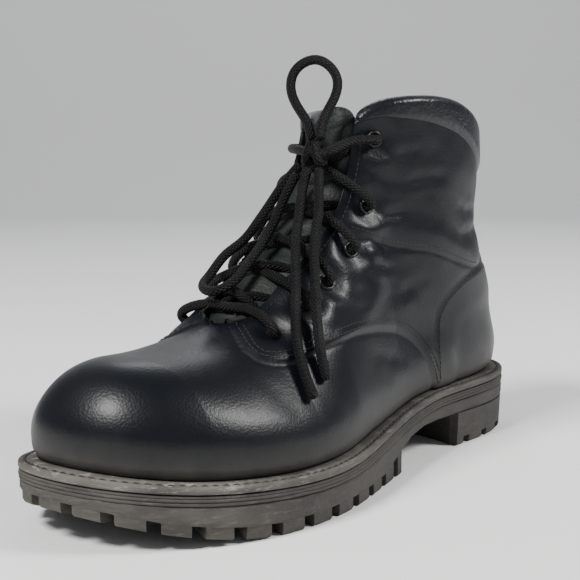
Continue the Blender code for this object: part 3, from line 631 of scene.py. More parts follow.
# Each crease: side, depth and half width in millimetres, and points (y, z).
CREASES = [
    (1, 1.5, 2.4, [(-6, 113), (3, 110), (12, 109), (22, 106)]),
    (1, 0.8, 2.0, [(0, 104), (8, 99), (18, 96), (27, 96)]),
    (1, 0.9, 2.2, [(13, 122), (22, 121), (34, 123)]),
    (1, 0.7, 2.5, [(17, 138), (28, 136), (44, 138), (60, 137)]),
    (1, 0.6, 2.2, [(17, 150), (27, 149), (40, 152)]),
    (1, 0.9, 3.0, [(62, 112), (78, 108), (94, 109), (108, 113)]),
    (1, 0.6, 2.4, [(70, 124), (86, 120), (101, 121)]),
    (1, 0.8, 2.6, [(-30, 92), (-20, 87), (-8, 84), (4, 84)]),
    (1, 0.6, 2.2, [(-46, 80), (-38, 76), (-28, 74)]),
    (1, 0.25, 3.6, [(-79, 66), (-77, 57), (-72, 47), (-66, 38)]),
    (1, 0.6, 3.0, [(12, 84), (26, 82), (40, 86), (52, 90)]),
    (1, 0.5, 3.0, [(-2, 60), (14, 55), (30, 50)]),
    (-1, 1.3, 2.6, [(-12, 106), (0, 104), (14, 106), (30, 104)]),
    (-1, 1.1, 2.4, [(6, 118), (18, 116), (34, 119), (52, 117)]),
    (-1, 1.2, 3.0, [(12, 136), (26, 132), (42, 133), (60, 130)]),
    (-1, 0.8, 2.6, [(10, 148), (22, 146), (38, 149)]),
    (-1, 1.0, 3.2, [(60, 112), (76, 107), (92, 108), (108, 113)]),
    (-1, 0.8, 2.6, [(-38, 86), (-28, 80), (-14, 78), (0, 80)]),
    (-1, 0.4, 3.2, [(-77, 66), (-74, 57), (-70, 47), (-64, 38)]),
    (-1, 0.7, 3.0, [(-20, 60), (-6, 52), (10, 48), (26, 46)]),
]
# Each soft swelling: x, y, z, height and half width in millimetres.
SWELLINGS = [
    (21, -15, 107, 1.3, 8), (29, 8, 104, 1.5, 9), (32, 11, 92, 1.6, 9), (34, -2, 82, 1.2, 9),
    (24, -59, 70, 1.3, 8), (12, -61, 74, 0.8, 7), (27, 17, 144, 1.3, 9), (28, 14, 116, 1.2, 7),
    (28, -43, 80, 1.2, 8), (33, 30, 134, 0.8, 14), (-27, -55, 72, 1.2, 8), (-27, -20, 92, 1.2, 9),
    (-24, 6, 112, 1.3, 9), (-20, 18, 142, 1.2, 9), (-30, 12, 96, 1.4, 10), (38, 84, 64, 0.9, 16),
    (40, 62, 138, 0.9, 16), (-30, 56, 142, 0.8, 16),
]


def behind_seam(side, route, points, normals):
    """How far each point lies behind a seam of one side, a mask that is 1 near the seam, and the
    share of the way along it."""
    distance, signed, share = near_line(on_last(side, route), points, normals)
    return signed * side, smooth_step(2.5 - distance / (9 * MM)), share


def leather_relief(points, normals):
    """Height of the leather over the plain last, and two masks: flexing and dust. Overlapping
    panels add their thickness behind a soft step; seams and creases are troughs with a low ridge
    on each side; eyelets sink a dimple; swellings are humps about a point."""
    out = np.zeros(len(points))
    flex = np.zeros(len(points))
    seams = np.zeros(len(points))
    x, y, z = points.T / MM
    for side in (1, -1):
        behind, close, share = behind_seam(side, QUARTER, points, normals)
        close = close * smooth_step(share / 0.07)
        out += 0.8 * MM * smooth_step(behind / (1.5 * MM) + 0.5) * close
        out -= 0.35 * MM * hump(behind, -1.3 * MM, 1.3 * MM) * close
        seams = np.maximum(seams, hump(behind, -0.9 * MM, 1.1 * MM) * close)
        behind, close, share = behind_seam(side, ANKLE, points, normals)
        close = close * (x * side > -4) * np.sin(np.pi * np.clip(share, 0.02, 0.98))**0.3
        out -= 0.8 * MM * hump(behind, 0, 1.4 * MM) * close
        out += 0.8 * MM * hump(behind, 7 * MM, 6 * MM) * close
        seams = np.maximum(seams, hump(behind, 0, 1.0 * MM) * close)
        behind, close, share = behind_seam(side, COUNTER, points, normals)
        close = close * (x * side > -4) * (z < 100)
        out += 0.45 * MM * smooth_step(behind / (1.6 * MM) + 0.5) * close
        out -= 0.25 * MM * hump(behind, -1.3 * MM, 1.2 * MM) * close
        seams = np.maximum(seams, hump(behind, -0.9 * MM, 1.0 * MM) * close)
        for place, _ in PLACES[side]:
            distance = np.linalg.norm(points - place, axis=1)
            out -= 1.3 * MM * hump(distance, 0, 5.5 * MM)
            out += 0.7 * MM * hump(distance, 11 * MM, 4 * MM)
            flex = np.maximum(flex, hump(distance, 7 * MM, 6 * MM))
    for side, depth, width, route in CREASES:
        distance, signed, share = near_line(on_last(side, route), points, normals)
        waver = 1 + 0.25 * np.sin(share * 17 + depth * 9)
        ends = np.sin(np.pi * np.clip(share, 0.01, 0.99))**0.7
        close = ends * smooth_step(3 - distance / (3 * width * MM))
        trough = hump(signed, 0, width * MM)
        ridge = hump(signed, 2.1 * width * MM, 1.2 * width * MM)
        ridge = ridge + hump(signed, -2.1 * width * MM, 1.2 * width * MM)
        out += MM * depth * waver * close * (0.3 * ridge - 0.7 * trough)
        flex = np.maximum(flex, close * hump(signed, 0, 3.5 * width * MM))
    for cx, cy, cz, tall, wide in SWELLINGS:
        distance = np.linalg.norm(points / MM - (cx, cy, cz), axis=1)
        out += tall * MM * hump(distance, 0, wide)
    strip = smooth_step((9.5 - np.abs(x)) / 1.4) * (y > 90) * smooth_step((136 - z) / 6)
    out += 0.5 * MM * strip
    seams = np.maximum(seams, hump(np.abs(x), 9.6, 0.9) * (y > 100) * (z < 134))
    slow = np.sin(x * 0.11 + 1.3 * np.sin(z * 0.07)) * np.sin(y * 0.083 + 0.9) * np.sin(z * 0.1 + 2)
    quick = np.sin(x * 0.31 + 2) * np.sin(y * 0.27 + 0.13 * x) * np.sin(z * 0.34 + 0.7)
    shaft = smooth_step((y + 75) / 60)
    out += MM * (0.12 + 0.3 * shaft) * slow + MM * 0.06 * shaft * quick
    low = z - feather_z(y * MM) / MM
    out -= 0.9 * MM * hump(low, 0.5, 2.2)
    dust = hump(low, 0, 5) + 0.3 * hump(low, 8, 9) + 0.35 * seams
    return out, flex, np.clip(dust, 0, 1)


def polished_leather():
    """Polished box leather: near black with a cold cast, a fine pebble grain and pores, finer
    wrinkles where it flexes, and grey dust in the seams and along the welt."""
    finish = Finish("polished_leather", Specular_IOR_Level=0.22, Coat_Roughness=0.2,
                    Coat_Weight=0.05)
    dust = finish.node("Attribute", {"attribute_name": "dust"}, "Fac")
    flex = finish.node("Attribute", {"attribute_name": "flex"}, "Fac")
    cloud = finish.noise(16.0, 4.0)
    smear = finish.noise(70.0, 6.0, Roughness=0.65)
    fine = finish.noise(900.0, 4.0)
    pebble = finish.pores(950.0)
    wrinkle = finish.noise(330.0, 5.0, Distortion=1.6)
    settled = (dust * (0.35 + smear * 1.1)).between(0.12, 1.0)
    scuff = smear.between(0.62, 0.8) * cloud.between(0.45, 0.7)
    colour = finish.mix(cloud.between(0.3, 0.7), (0.002, 0.003, 0.0055, 1),
                        (0.004, 0.0048, 0.0065, 1))
    colour = finish.mix(settled * 0.75 + scuff * 0.12, colour, (0.085, 0.08, 0.072, 1))
    roughness = 0.25 + 0.12 * cloud + 0.1 * smear + 0.4 * settled + 0.12 * scuff + 0.06 * flex
    relief = pebble * 0.35 + fine * 0.2 + wrinkle * (0.25 + flex * 0.9)
    return finish.done(colour, roughness, relief, 0.00016)


def shoe_lining():
    """The lining: dull black split leather, rubbed paler in cloudy patches."""
    finish = Finish("shoe_lining", Specular_IOR_Level=0.25)
    nap = finish.noise(1400.0, 3.0)
    rub = finish.noise(30.0, 4.0)
    colour = finish.mix(rub.between(0.35, 0.75), (0.012, 0.012, 0.012, 1), (0.035, 0.032, 0.03, 1))
    return finish.done(colour, 0.7 + 0.15 * nap, nap + rub * 0.5, 0.0002)


leather_finish = polished_leather()
lining_finish = shoe_lining()


def relaxed(points, quads, weight, rounds=60):
    """The points eased towards the mean of their neighbours in many rounds, each time by half
    their weight. Points on an open edge stay where they are."""
    edges = np.sort(np.vstack([quads[:, [i, (i + 1) % 4]] for i in range(4)]), axis=1)
    edges = edges[edges[:, 0] != edges[:, 1]]
    edges, uses = np.unique(edges, axis=0, return_counts=True)
    loose = np.ones(len(points), bool)
    loose[edges[uses == 1].ravel()] = False
    share = 0.5 * (weight * loose)[:, None]
    both = np.vstack([edges, edges[:, ::-1]])
    count = np.bincount(both[:, 0], minlength=len(points))
    for _ in range(rounds):
        sums = [np.bincount(both[:, 0], points[both[:, 1], i], len(points)) for i in range(3)]
        points = points + share * (np.stack(sums, axis=-1) / count[:, None] - points)
    return points


def upper_shell():
    """The leather: both halves of the last's grid welded along toe, ridge and heel, raised by the
    relief along the surface normal, then given its thickness inwards. The grid's columns lie
    closer together towards the top edge."""
    rows, columns = 236, 92
    s = np.unique(np.concatenate([np.linspace(0, 1, rows),
                                  station_s(np.array([POLE[1], THROAT_Y, FRONT_Y]))]))
    v = 1 - (1 - np.linspace(0, 1, columns))**1.12
    v[-1] = 1.0
    points = [last_point(side, s[:, None], v[None]).reshape(-1, 3) for side in (1, -1)]
    quads = grid_quads(len(s), columns)
    quads = np.vstack([quads[:, ::-1], quads + len(points[0])])
    points, whole, thirds = welded(np.vstack(points), quads)
    faces = np.vstack([whole, thirds[:, [0, 1, 2, 2]]])
    base = hump(points[:, 1], -59 * MM, 7 * MM) * smooth_step((points[:, 2] - 52 * MM) / (12 * MM))
    points = relaxed(points, faces, base)
    normals = vertex_normals(points, faces)
    out, flex, dust = leather_relief(points, normals)
    raised = points + normals * out[:, None]
    piece = new_piece("upper_leather", raised, whole, leather_finish, thirds)
    piece.data.materials.append(lining_finish)
    write_attribute(piece, "flex", flex)
    write_attribute(piece, "dust", dust)
    wall = piece.modifiers.new("wall", "SOLIDIFY")
    wall.thickness = LEATHER - 0.2 * MM
    wall.offset = -1
    wall.material_offset = 1
    wall.material_offset_rim = 0
    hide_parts("upper")
    return points, normals, out


last_points, last_normals, last_relief = upper_shell()

# ---- Folded edges and stitching of the upper -----------------------------------------------------
# Behind each panel's folded edge run rows of bonded black thread. One stitch is 2.1 mm long and
# is sunk at both ends into the leather.


def on_leather(line, inward, lift=0.02 * MM):
    """A line moved sideways on the leather by inward and raised by lift over its relief, and the
    leather's normals along it."""
    normal = last_normals[squared_gaps(line, last_points).argmin(axis=1)]
    moved = line + unit(np.cross(normal, unit(np.gradient(line, axis=0)))) * inward
    nearest = squared_gaps(moved, last_points).argmin(axis=1)
    normal = last_normals[nearest]
    base = moved - normal * ((moved - last_points[nearest]) * normal).sum(axis=1)[:, None]
    level = np.convolve(np.pad(last_relief[nearest], 4, mode="edge"), np.ones(9) / 9, mode="valid")
    return base + normal * (level + lift)[:, None], normal


def stitches(name, rows, pitch, length, thick):
    """Rows of stitches: each is a bent spindle, 5 rings of 6 points. Along it x goes from -1 to
    1; its radius follows the root of 1 - x^2 and its line rises by 0.5 (1 - x^2) of its thickness."""
    x = np.array([-1.0, -0.7, 0.0, 0.7, 1.0])
    turn = full_turn(6)
    rise = 1 - x**2
    step = 0.1 * MM
    collected = []
    for line, normal in rows:
        walked = walked_along(line)
        at = (np.arange(int(walked[-1] / pitch)) + 0.5) * pitch
        centre = read_off(at, walked, line)
        up = unit(read_off(at, walked, normal))
        ahead = unit(read_off(at + step, walked, line) - read_off(at - step, walked, line))
        wide = np.cross(up, ahead)
        spine = (centre[:, None] + ahead[:, None] * (x * length / 2)[:, None]
                 + up[:, None] * (rise * 0.5 * thick - 0.1 * thick)[:, None])
        radius = thick / 2 * np.maximum(np.sqrt(rise), 0.25)
        spoke = wide[:, None] * np.cos(turn)[:, None] + up[:, None] * np.sin(turn)[:, None]
        collected.append(spine[:, :, None] + spoke[:, None] * radius[:, None, None])
    shapes = np.concatenate(collected)
    caps = np.array([[0, 1, 2, 3], [0, 3, 4, 5], [27, 26, 25, 24], [29, 28, 27, 24]])
    faces = np.vstack([grid_quads(len(x), len(turn), around=True)[:, ::-1], caps])
    start = np.arange(len(shapes))[:, None, None] * len(x) * len(turn)
    piece = new_piece(name, shapes, (faces[None] + start).reshape(-1, 4), thread_finish)


def bonded_thread():
    """Bonded thread: black, a little glossy, with dust between its plies."""
    finish = Finish("bonded_thread", Specular_IOR_Level=0.4)
    ply = finish.noise(3000.0, 2.0)
    colour = finish.mix(ply.between(0.35, 0.75), (0.009, 0.009, 0.01, 1), (0.05, 0.047, 0.043, 1))
    return finish.done(colour, 0.5 + 0.2 * ply, ply, 0.0001)


thread_finish = bonded_thread()
seam_rows = []
for side in (1, -1):
    quarter = on_last(side, QUARTER)[8:]
    ankle = on_last(side, ANKLE[1:-1])
    counter = on_last(side, COUNTER[2:])
    throat = throat_edge[side](np.linspace(0.06, 0.97, 130))
    for line, inward in ((quarter, 2.0), (quarter, 4.4), (ankle, 1.9), (counter, 2.0),
                         (throat, -4.2)):
        seam_rows.append(on_leather(line, inward * MM * side))
stitches("upper_thread", seam_rows, 2.6 * MM, 2.1 * MM, 0.42 * MM)

# ---- Collar ---------------------------------------------------------------------------------
# A foam roll covered in soft glove leather, sewn to the shaft's top edge. It is thin at the front
# corners and grows to a thick cushion over the tendon; its cover puckers at the seam below it.
COLLAR_HEIGHT = 14 * MM
COLLAR_THICK = 9 * MM


def collar_roll():
    """The roll as a function of the way along, t from one corner to the other, and round, a: an
    oval that follows the edge. Its outer lower quarter is drawn down over the leather by drop and
    stands out by bulge times a power of cos a, as a cushion that ends at the collar's seam."""
    t = np.linspace(0, 1, 420)
    front = station_s(FRONT_Y)
    share = 0.012 + 0.988 * (1 - np.abs(2 * t - 1))
    side = np.where(t <= 0.5, 1, -1)
    s = front + share * (1 - front)
    edge = np.where((side > 0)[:, None], collar_edge[1](share), collar_edge[-1](share))
    outward = np.where((side > 0)[:, None], feather(1, s)[1], feather(-1, s)[1])
    swap = hump(t, 0.5, 0.02)[:, None]
    outward = unit(outward * (1 - swap) + np.array([0.0, 1.0]) * swap)
    tip = np.clip(np.minimum(t, 1 - t) / 0.07, 0, 1)
    tip = np.sqrt(np.clip(1 - (1 - tip)**2, 0, 1))
    a = full_turn(44)
    half_height = np.interp(share, [0, 0.25, 1], [0.4, 0.5, 1]) * COLLAR_HEIGHT / 2
    walked = walked_along(edge) / MM
    wander = walked + 1.4 * np.sin(walked * 0.35)
    pucker = np.sin(wander * 0.9) * 0.5 + np.sin(wander * 1.67 + 1) * 0.3
    pucker = pucker + np.sin(wander * 0.31 + 2) * 0.6
    outer = np.cos(a) > 0
    low = np.where(outer, np.clip(-np.sin(a), 0, 1), 0)
    drop = np.interp(share, [0, 0.12, 0.35, 0.7, 1], [0.5, 2.5, 7, 13, 13]) * tip * MM
    rib = edge[:, 2] - feather_z(edge[:, 1])
    v = 1 - low[None] * (drop / rib)[:, None]
    under = np.stack([last_point(1, s[:, None], v), last_point(-1, s[:, None], v)])
    under = under[np.where(side > 0, 0, 1), np.arange(len(t))] - edge[:, None]
    bulge = np.interp(share, [0, 0.2, 1], [0.4, 1.1, 1.9]) * tip * MM
    bulge = bulge[:, None] * np.clip(np.cos(a), 0, 1)[None]**0.55 * (1 + 0.03 * pucker[:, None])
    thick = np.where(outer & (np.sin(a) < 0), np.minimum(np.cos(a) - 0.72, 0), np.cos(a) - 1)
    offset = COLLAR_THICK / 2 * thick[None] * tip[:, None] + bulge + 0.4 * MM
    full = np.abs(np.sin(a))**0.86 * np.sign(np.sin(a))
    plan = edge[:, None, :2] + under[..., :2] + outward[:, None] * offset[..., None]
    z = edge[:, 2, None] + (0.8 * MM + half_height[:, None] * (1 + full[None])) * tip[:, None]
    z = z - (drop[:, None] + 0.8 * MM * tip[:, None]) * low[None] * smooth_step(np.cos(a) / 0.3)[None]
    points = np.concatenate([plan, z[..., None]], axis=-1)
    quads = grid_quads(len(t), len(a), around=True)[:, ::-1]
    middle = points[[0, -1]].mean(axis=1)
    points[0] = middle[0]
    points[-1] = middle[1]
    return welded(points.reshape(-1, 3), quads)


def glove_leather():
    """Soft glossy cover leather: fine wrinkles that run across the roll, and a worn sheen."""
    finish = Finish("glove_leather", Specular_IOR_Level=0.3, Coat_Weight=0.1,
                    Coat_Roughness=0.14)
    fold = finish.noise(160.0, 5.0, Distortion=1.2)
    fine = finish.pores(800.0)
    wear = finish.noise(40.0, 4.0)
    colour = finish.mix(wear.between(0.4, 0.75), (0.002, 0.003, 0.006, 1), (0.005, 0.0055, 0.0075, 1))
    return finish.done(colour, 0.22 + 0.16 * wear + 0.06 * fold, fold + fine * 0.3, 0.0004)


glove_finish = glove_leather()
roll_points, roll_quads, roll_thirds = collar_roll()
collar = new_piece("collar_roll", roll_points, roll_quads, glove_finish, roll_thirds)
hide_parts("collar")

# ---- Tongue ---------------------------------------------------------------------------------
# A padded tongue in duller leather, faded to a greenish black, sewn in under the vamp. The lace
# presses a shallow groove across it below each pair of eyelets.
TONGUE_THICK = 3 * MM


def throat_middle(share, crown):
    """A point on the middle of the throat, raised by crown over its two edges, and its normal."""
    s = throat_s(share)
    edges = [last_point(side, s, 1.0) for side in (1, -1)]
    normals = [last_normal(side, s, 0.98) for side in (1, -1)]
    normal = unit(sum(normals))
    return sum(edges) / 2 + normal * crown, normal


def tongue_sheet():
    """The tongue's outside: rows up the throat, each a smooth section under both edges, then a
    free top that rounds off. The rows are joined by a spline, and lace grooves are pressed in."""
    shares = np.concatenate([np.linspace(0.03, 0.97, 11), [0.97, 0.97]])
    rises = np.concatenate([np.zeros(11), [6 * MM, 12 * MM]])
    rows, columns = 170, 49
    across = np.linspace(0, 1, columns)
    sections = []
    for share, rise in zip(shares, rises):
        reach = np.interp(share, [0.03, 0.7, 0.97], [13, 11, 2]) * MM
        under = LEATHER + np.interp(share, [0.03, 0.1, 0.3], [8.5, 4.6, 4.0]) * MM
        ribs = []
        for side in (1, -1):
            for inward in (reach, 0.25 * reach):
                s, v = beside_throat(side, share, inward)
                ribs.append(last_point(side, s, v) - last_normal(side, s, v) * under)
        middle, normal = throat_middle(share, np.interp(share, [0.03, 0.12, 0.2], [-11, -5, -2]) * MM)
        section = np.array([ribs[0], ribs[1], middle, ribs[3], ribs[2]])
        centre = section.mean(axis=0)
        section = centre + (section - centre) * (1 - 0.45 * rise / (12 * MM))
        section = section + np.array([0, 0.25, 1]) * rise
        sections.append(through(section / MM)(across))
    sections = np.array(sections)
    knots = np.arange(len(sections)) / (len(sections) - 1)
    up = np.linspace(0, 1, rows)
    curve = natural_spline(knots, sections.reshape(len(sections), -1))
    points = curve(up).reshape(rows, columns, 3)
    normals = unit(np.cross(np.gradient(points, axis=1), np.gradient(points, axis=0)))
    normals = normals * -np.sign(normals[rows // 2, columns // 2, 1])
    corner = smooth_step((up - 0.9) / 0.1)[:, None] * (2 * across - 1)[None]**4
    points[..., 2] -= 5 * MM * corner
    middle = np.sin(np.pi * across)[None]
    press = sum(hump(up * 1.06, share * 0.9 + 0.05, 0.02) for share, _ in EYELETS)[:, None]
    folds = np.sin(up * 95 + 2.2 * np.sin(up * 13))[:, None] * np.sin(across * 7 + 1)[None]
    height_over = MM * (0.7 * middle - 0.9 * press * middle + 0.22 * folds)
    return points + normals * height_over[..., None]


def faded_leather():
    """The tongue's leather: greenish black, nearly dull, with dust in its fine wrinkles."""
    finish = Finish("faded_leather", Specular_IOR_Level=0.25)
    cloud = finish.noise(45.0, 5.0)
    wrinkle = finish.noise(260.0, 5.0, Distortion=2.0)
    pore = finish.pores(1100.0)
    colour = finish.mix(cloud.between(0.35, 0.75), (0.006, 0.008, 0.007, 1),
                        (0.02, 0.026, 0.022, 1))
    colour = finish.mix(wrinkle.between(0.6, 0.8) * 0.4, colour, (0.05, 0.054, 0.048, 1))
    return finish.done(colour, 0.4 + 0.25 * cloud, wrinkle + pore * 0.4, 0.0003)


tongue_finish = faded_leather()
sheet = tongue_sheet()
tongue = new_piece("tongue_pad", sheet, grid_quads(*sheet.shape[:2]), tongue_finish)
tongue_wall = tongue.modifiers.new("wall", "SOLIDIFY")
tongue_wall.thickness = TONGUE_THICK
tongue_wall.offset = -1
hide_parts("tongue")

# ---- Eyelets --------------------------------------------------------------------------------
# Twelve two-part brass eyelets under black enamel, 8 mm across, rolled over at the back. The
# enamel has chipped to grey metal on the rims where the lace runs.
EYELET_HOLE = 2.3 * MM
EYELET_FLANGE = 4.0 * MM


def chipped_enamel():
    """Black enamel on a metal rim, with chips that show the metal."""
    finish = Finish("chipped_enamel", Specular_IOR_Level=0.3)
    chip = finish.noise(520.0, 5.0).between(0.6, 0.66)
    film = finish.noise(90.0, 3.0)
    colour = finish.mix(chip * 0.6, (0.008, 0.008, 0.009, 1), (0.16, 0.15, 0.14, 1))
    finish.tree.links.new((chip * 0.8).socket, finish.shader.inputs["Metallic"])
    return finish.done(colour, 0.22 + 0.25 * film, 1 - chip, 0.00006)


enamel_finish = chipped_enamel()


def eyelet_ring(place, normal):
    """A ring turned about the normal: its closed profile is a rolled rim, a flat flange that
    slopes to the leather, and the barrel through it."""
    across = unit(np.cross(normal, (0, 0, 1)))
    up = np.cross(normal, across)
    angle = np.linspace(0, np.pi, 12)
    middle = (EYELET_HOLE + EYELET_FLANGE) / 2
    half = (EYELET_FLANGE - EYELET_HOLE) / 2
    rim = np.stack([middle - half * np.cos(angle), 0.1 * MM + 1.35 * MM * np.sin(angle)**0.8], axis=-1)
    barrel = np.array([(EYELET_FLANGE - 0.2 * MM, -0.6 * MM), (EYELET_HOLE + 0.7 * MM, -0.8 * MM),
                       (EYELET_HOLE + 0.6 * MM, -2.9 * MM), (EYELET_HOLE, -2.9 * MM)])
    profile = np.vstack([rim, barrel])
    turn = full_turn(40)
    spoke = np.cos(turn)[:, None] * across + np.sin(turn)[:, None] * up
    points = place + spoke[:, None] * profile[None, :, :1] + normal * profile[None, :, 1:]
    quads = grid_quads(len(turn), len(profile), around=True, looped=True)[:, [0, 3, 2, 1]]
    return points.reshape(-1, 3), quads


for side, label in ((1, "outer"), (-1, "inner")):
    for number, (place, normal) in enumerate(PLACES[side], 1):
        ring_points, ring_quads = eyelet_ring(place - normal * 0.9 * MM, normal)
        ring = new_piece(f"ring_{label}_{number}", ring_points, ring_quads, enamel_finish)
        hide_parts(f"eyelet_{label}_{number}")

# ---- Laced stretch --------------------------------------------------------------------------
# The lace starts as a bar over the lowest pair, drops through both eyelets and crosses up the
# throat: out of one eyelet, over that side's edge, under the other edge and out of the next one.


def out_of_eyelet(side, pair):
    """Three points of the lace: behind an eyelet, in its hole and in front of it."""
    place, normal = PLACES[side][pair]
    return [place + normal * lift * MM for lift in (-4.6, -0.5, 2.6)]


def at_edge(side, share, lift):
    """A point over the throat's edge, by lift along the leather's normal."""
    s = throat_s(share)
    return last_point(side, s, 1.0) + last_normal(side, s, 0.98) * lift


def laced_route(first):
    """Points of one strand from under its lowest eyelet to the knot. first is 1 or -1, the side
    it starts on; each crossing lies higher on the strand that starts on the outer side."""
    side = first
    crown = 2.7 * MM + (2.1 * MM if first > 0 else -1.6 * MM)
    points = out_of_eyelet(side, 0)[:1]
    for pair, (share, _) in enumerate(EYELETS[:-1]):
        following = EYELETS[pair + 1][0]
        gap = following - share
        points.append(at_edge(side, share + 0.22 * gap, 2.6 * MM if pair > 0 else -4.4 * MM))
        points.append(throat_middle((share + following) / 2, crown)[0])
        side = -side
        points.append(at_edge(side, share + 0.78 * gap, -4.2 * MM))
        points += out_of_eyelet(side, pair + 1)
    points.append(at_edge(side, 0.93, 3.2 * MM))
    points.append((KNOT + np.array([5.5 * side, 1.5, 0.5])) * MM)
    points.append((KNOT + np.array([1.5 * side, 0.5, 0.0])) * MM)
    return np.array(points) / MM


def bar_route():
    """The bar: out of both lowest eyelets and straight across the throat in a low arch."""
    share = EYELETS[0][0]
    arch = [at_edge(1, share, 2.5 * MM), throat_middle(share, 2.6 * MM)[0],
            at_edge(-1, share, 2.5 * MM)]
    return np.array(out_of_eyelet(1, 0) + arch + out_of_eyelet(-1, 0)[::-1]) / MM


laced_parts = []
for route, steps, lean in ((bar_route(), 110, (0.02, 0.75, 0.66)),
                           (laced_route(1), 620, (0.02, 0.6, 0.8)),
                           (laced_route(-1), 620, (0.02, 0.6, 0.8))):
    laced_parts.append((through(route)(np.linspace(0, 1, steps)), lean, False))
lace_piece("laced_stretch", "lace_crossings", laced_parts)

# ---- Insole ---------------------------------------------------------------------------------
# The insole board and its sock lining keep the modelled solid. The sock is tan-brown leather that
# feet have darkened, and only a little of it shows through the collar.


def sock_leather():
    """Bare vegetable-tanned leather, darkened in patches and finely pored."""
    finish = Finish("sock_leather", Specular_IOR_Level=0.3)
    stain = finish.noise(24.0, 5.0)
    pore = finish.pores(1300.0)
    colour = finish.mix(stain.between(0.35, 0.7), (0.16, 0.105, 0.065, 1), (0.06, 0.04, 0.027, 1))
    return finish.done(colour, 0.6 + 0.2 * stain, pore, 0.0001)


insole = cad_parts["insole"]
insole.data.materials.clear()
insole.data.materials.append(sock_leather())

# ---- Welt -----------------------------------------------------------------------------------
# A strip of grey-black rubber, moulded with the sole, that stands out round the upper. Its edge is
# scuffed pale, most of all at the toe, and a row of stitches lies in a groove on its top.


def sole_edge(y):
    """How far the sole's edge stands out from the feather line."""
    places = [-150 * MM, -60 * MM, 60 * MM, 150 * MM]
    return np.interp(y, places, [7 * MM, 7 * MM, 5 * MM, 7 * MM])


def all_round(count):
    """Plan points and outward normals of the feather line, once round, evenly by stations."""
    s = np.linspace(0, 1, count)
    plans, normals = zip(*(feather(side, s) for side in (1, -1)))
    plan = np.vstack([plans[0], plans[1][::-1][1:-1]])
    normal = np.vstack([normals[0], normals[1][::-1][1:-1]])
    normal[0] = (0, -1)
    normal[count - 1] = (0, 1)
    return plan, unit(normal)


def round_strip(edge_out, edge_low, inner_out, inner_low, count=260):
    """A closed strip all round the boot. Its section is a loop in millimetres: points measured
    out from the sole's edge, then inner points measured out from the feather line, all of them
    at depths below that line. The loop is listed so that its outside faces out."""
    plan, normal = all_round(count)
    edge = sole_edge(plan[:, 1])[:, None] + np.array(edge_out) * MM
    inner = np.broadcast_to(np.array(inner_out) * MM, (len(plan), len(inner_out)))
    level = plan[:, None] + normal[:, None] * np.hstack([edge, inner])[..., None]
    z = feather_z(plan[:, 1])[:, None] - np.array(edge_low + inner_low) * MM
    points = np.concatenate([level, z[..., None]], axis=-1)
    return points, grid_quads(*z.shape, around=True, looped=True)[:, [0, 3, 2, 1]]


def dusty_rubber(name, pale, dark, streak_amount, scuff_amount):
    """Moulded rubber with road dust: level streaks, specks, and pale scuffs at its edges."""
    finish = Finish(name, Specular_IOR_Level=0.35)
    y = finish.node("SeparateXYZ", {}, "Y", Vector=finish.where)
    toe = (-1 * y).between(0.05, 0.135)
    level = finish.node("Mapping", {}, "Vector", Vector=finish.where, Scale=(1.0, 1.0, 3.2))
    streak = finish.node("TexNoise", {}, "Fac", Vector=level, Scale=42.0, Detail=6.0, Roughness=0.6)
    cloud = finish.noise(24.0, 5.0)
    speck = finish.noise(620.0, 4.0)
    mark = finish.node("Mapping", {}, "Vector", Vector=finish.where, Scale=(1.0, 1.0, 6.0))
    scratch = finish.node("TexNoise", {}, "Fac", Vector=mark, Scale=120.0, Detail=6.0, Roughness=0.7)
    dusty = (streak * 0.5 + cloud * 0.5).between(0.36, 0.64) * streak_amount
    colour = finish.mix(dusty * (0.6 + 0.4 * toe), dark, pale)
    bright = tuple(min(1.0, 2.3 * value) for value in pale[:3]) + (1,)
    scuffs = scratch.between(0.54, 0.68) * (0.25 + 0.75 * toe) * scuff_amount
    colour = finish.mix(scuffs, colour, bright)
    colour = finish.mix(speck.between(0.56, 0.72) * 0.3, colour, pale)
    return finish.done(colour, 0.6 + 0.25 * dusty + 0.1 * speck, speck + scratch * 0.5, 0.0003)


welt_finish = dusty_rubber("welt_rubber_scuffed", (0.15, 0.138, 0.122, 1), (0.02, 0.0195, 0.0185, 1),
                           0.9, 0.9)
# Up the rounded edge, in over the top with its stitch groove, and back underneath.
welt_shape = round_strip(
    [-0.9, -0.25, 0, 0, -0.15, -0.5, -1.1, -1.9, -2.3, -2.8, -3.3, -3.7],
    [3.6, 3.35, 2.8, 1.5, 1.0, 0.62, 0.42, 0.36, 0.75, 0.85, 0.75, 0.36],
    [0.4, -7.6, -7.6], [0.36, 0.36, 3.6])
welt = new_piece("welt_strip", *welt_shape, welt_finish)
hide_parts("welt")
welt_plan, welt_normal = all_round(400)
stitch_line = welt_plan + welt_normal * (sole_edge(welt_plan[:, 1]) - 2.8 * MM)[:, None]
stitch_line = np.column_stack([stitch_line, feather_z(welt_plan[:, 1]) - 0.72 * MM])
straight_up = np.broadcast_to([0.0, 0.0, 1.0], stitch_line.shape)
stitches("welt_thread", [(stitch_line, straight_up)], 4.4 * MM, 3.6 * MM, 0.8 * MM)

# ---- Midsole --------------------------------------------------------------------------------
# The upper band of the rubber unit. Two level grooves run round its edge, and the band between
# them stands out a little. Dust sits in the grooves.
band_finish = dusty_rubber("band_rubber", (0.085, 0.078, 0.07, 1), (0.018, 0.0175, 0.0165, 1), 0.9,
                           0.4)
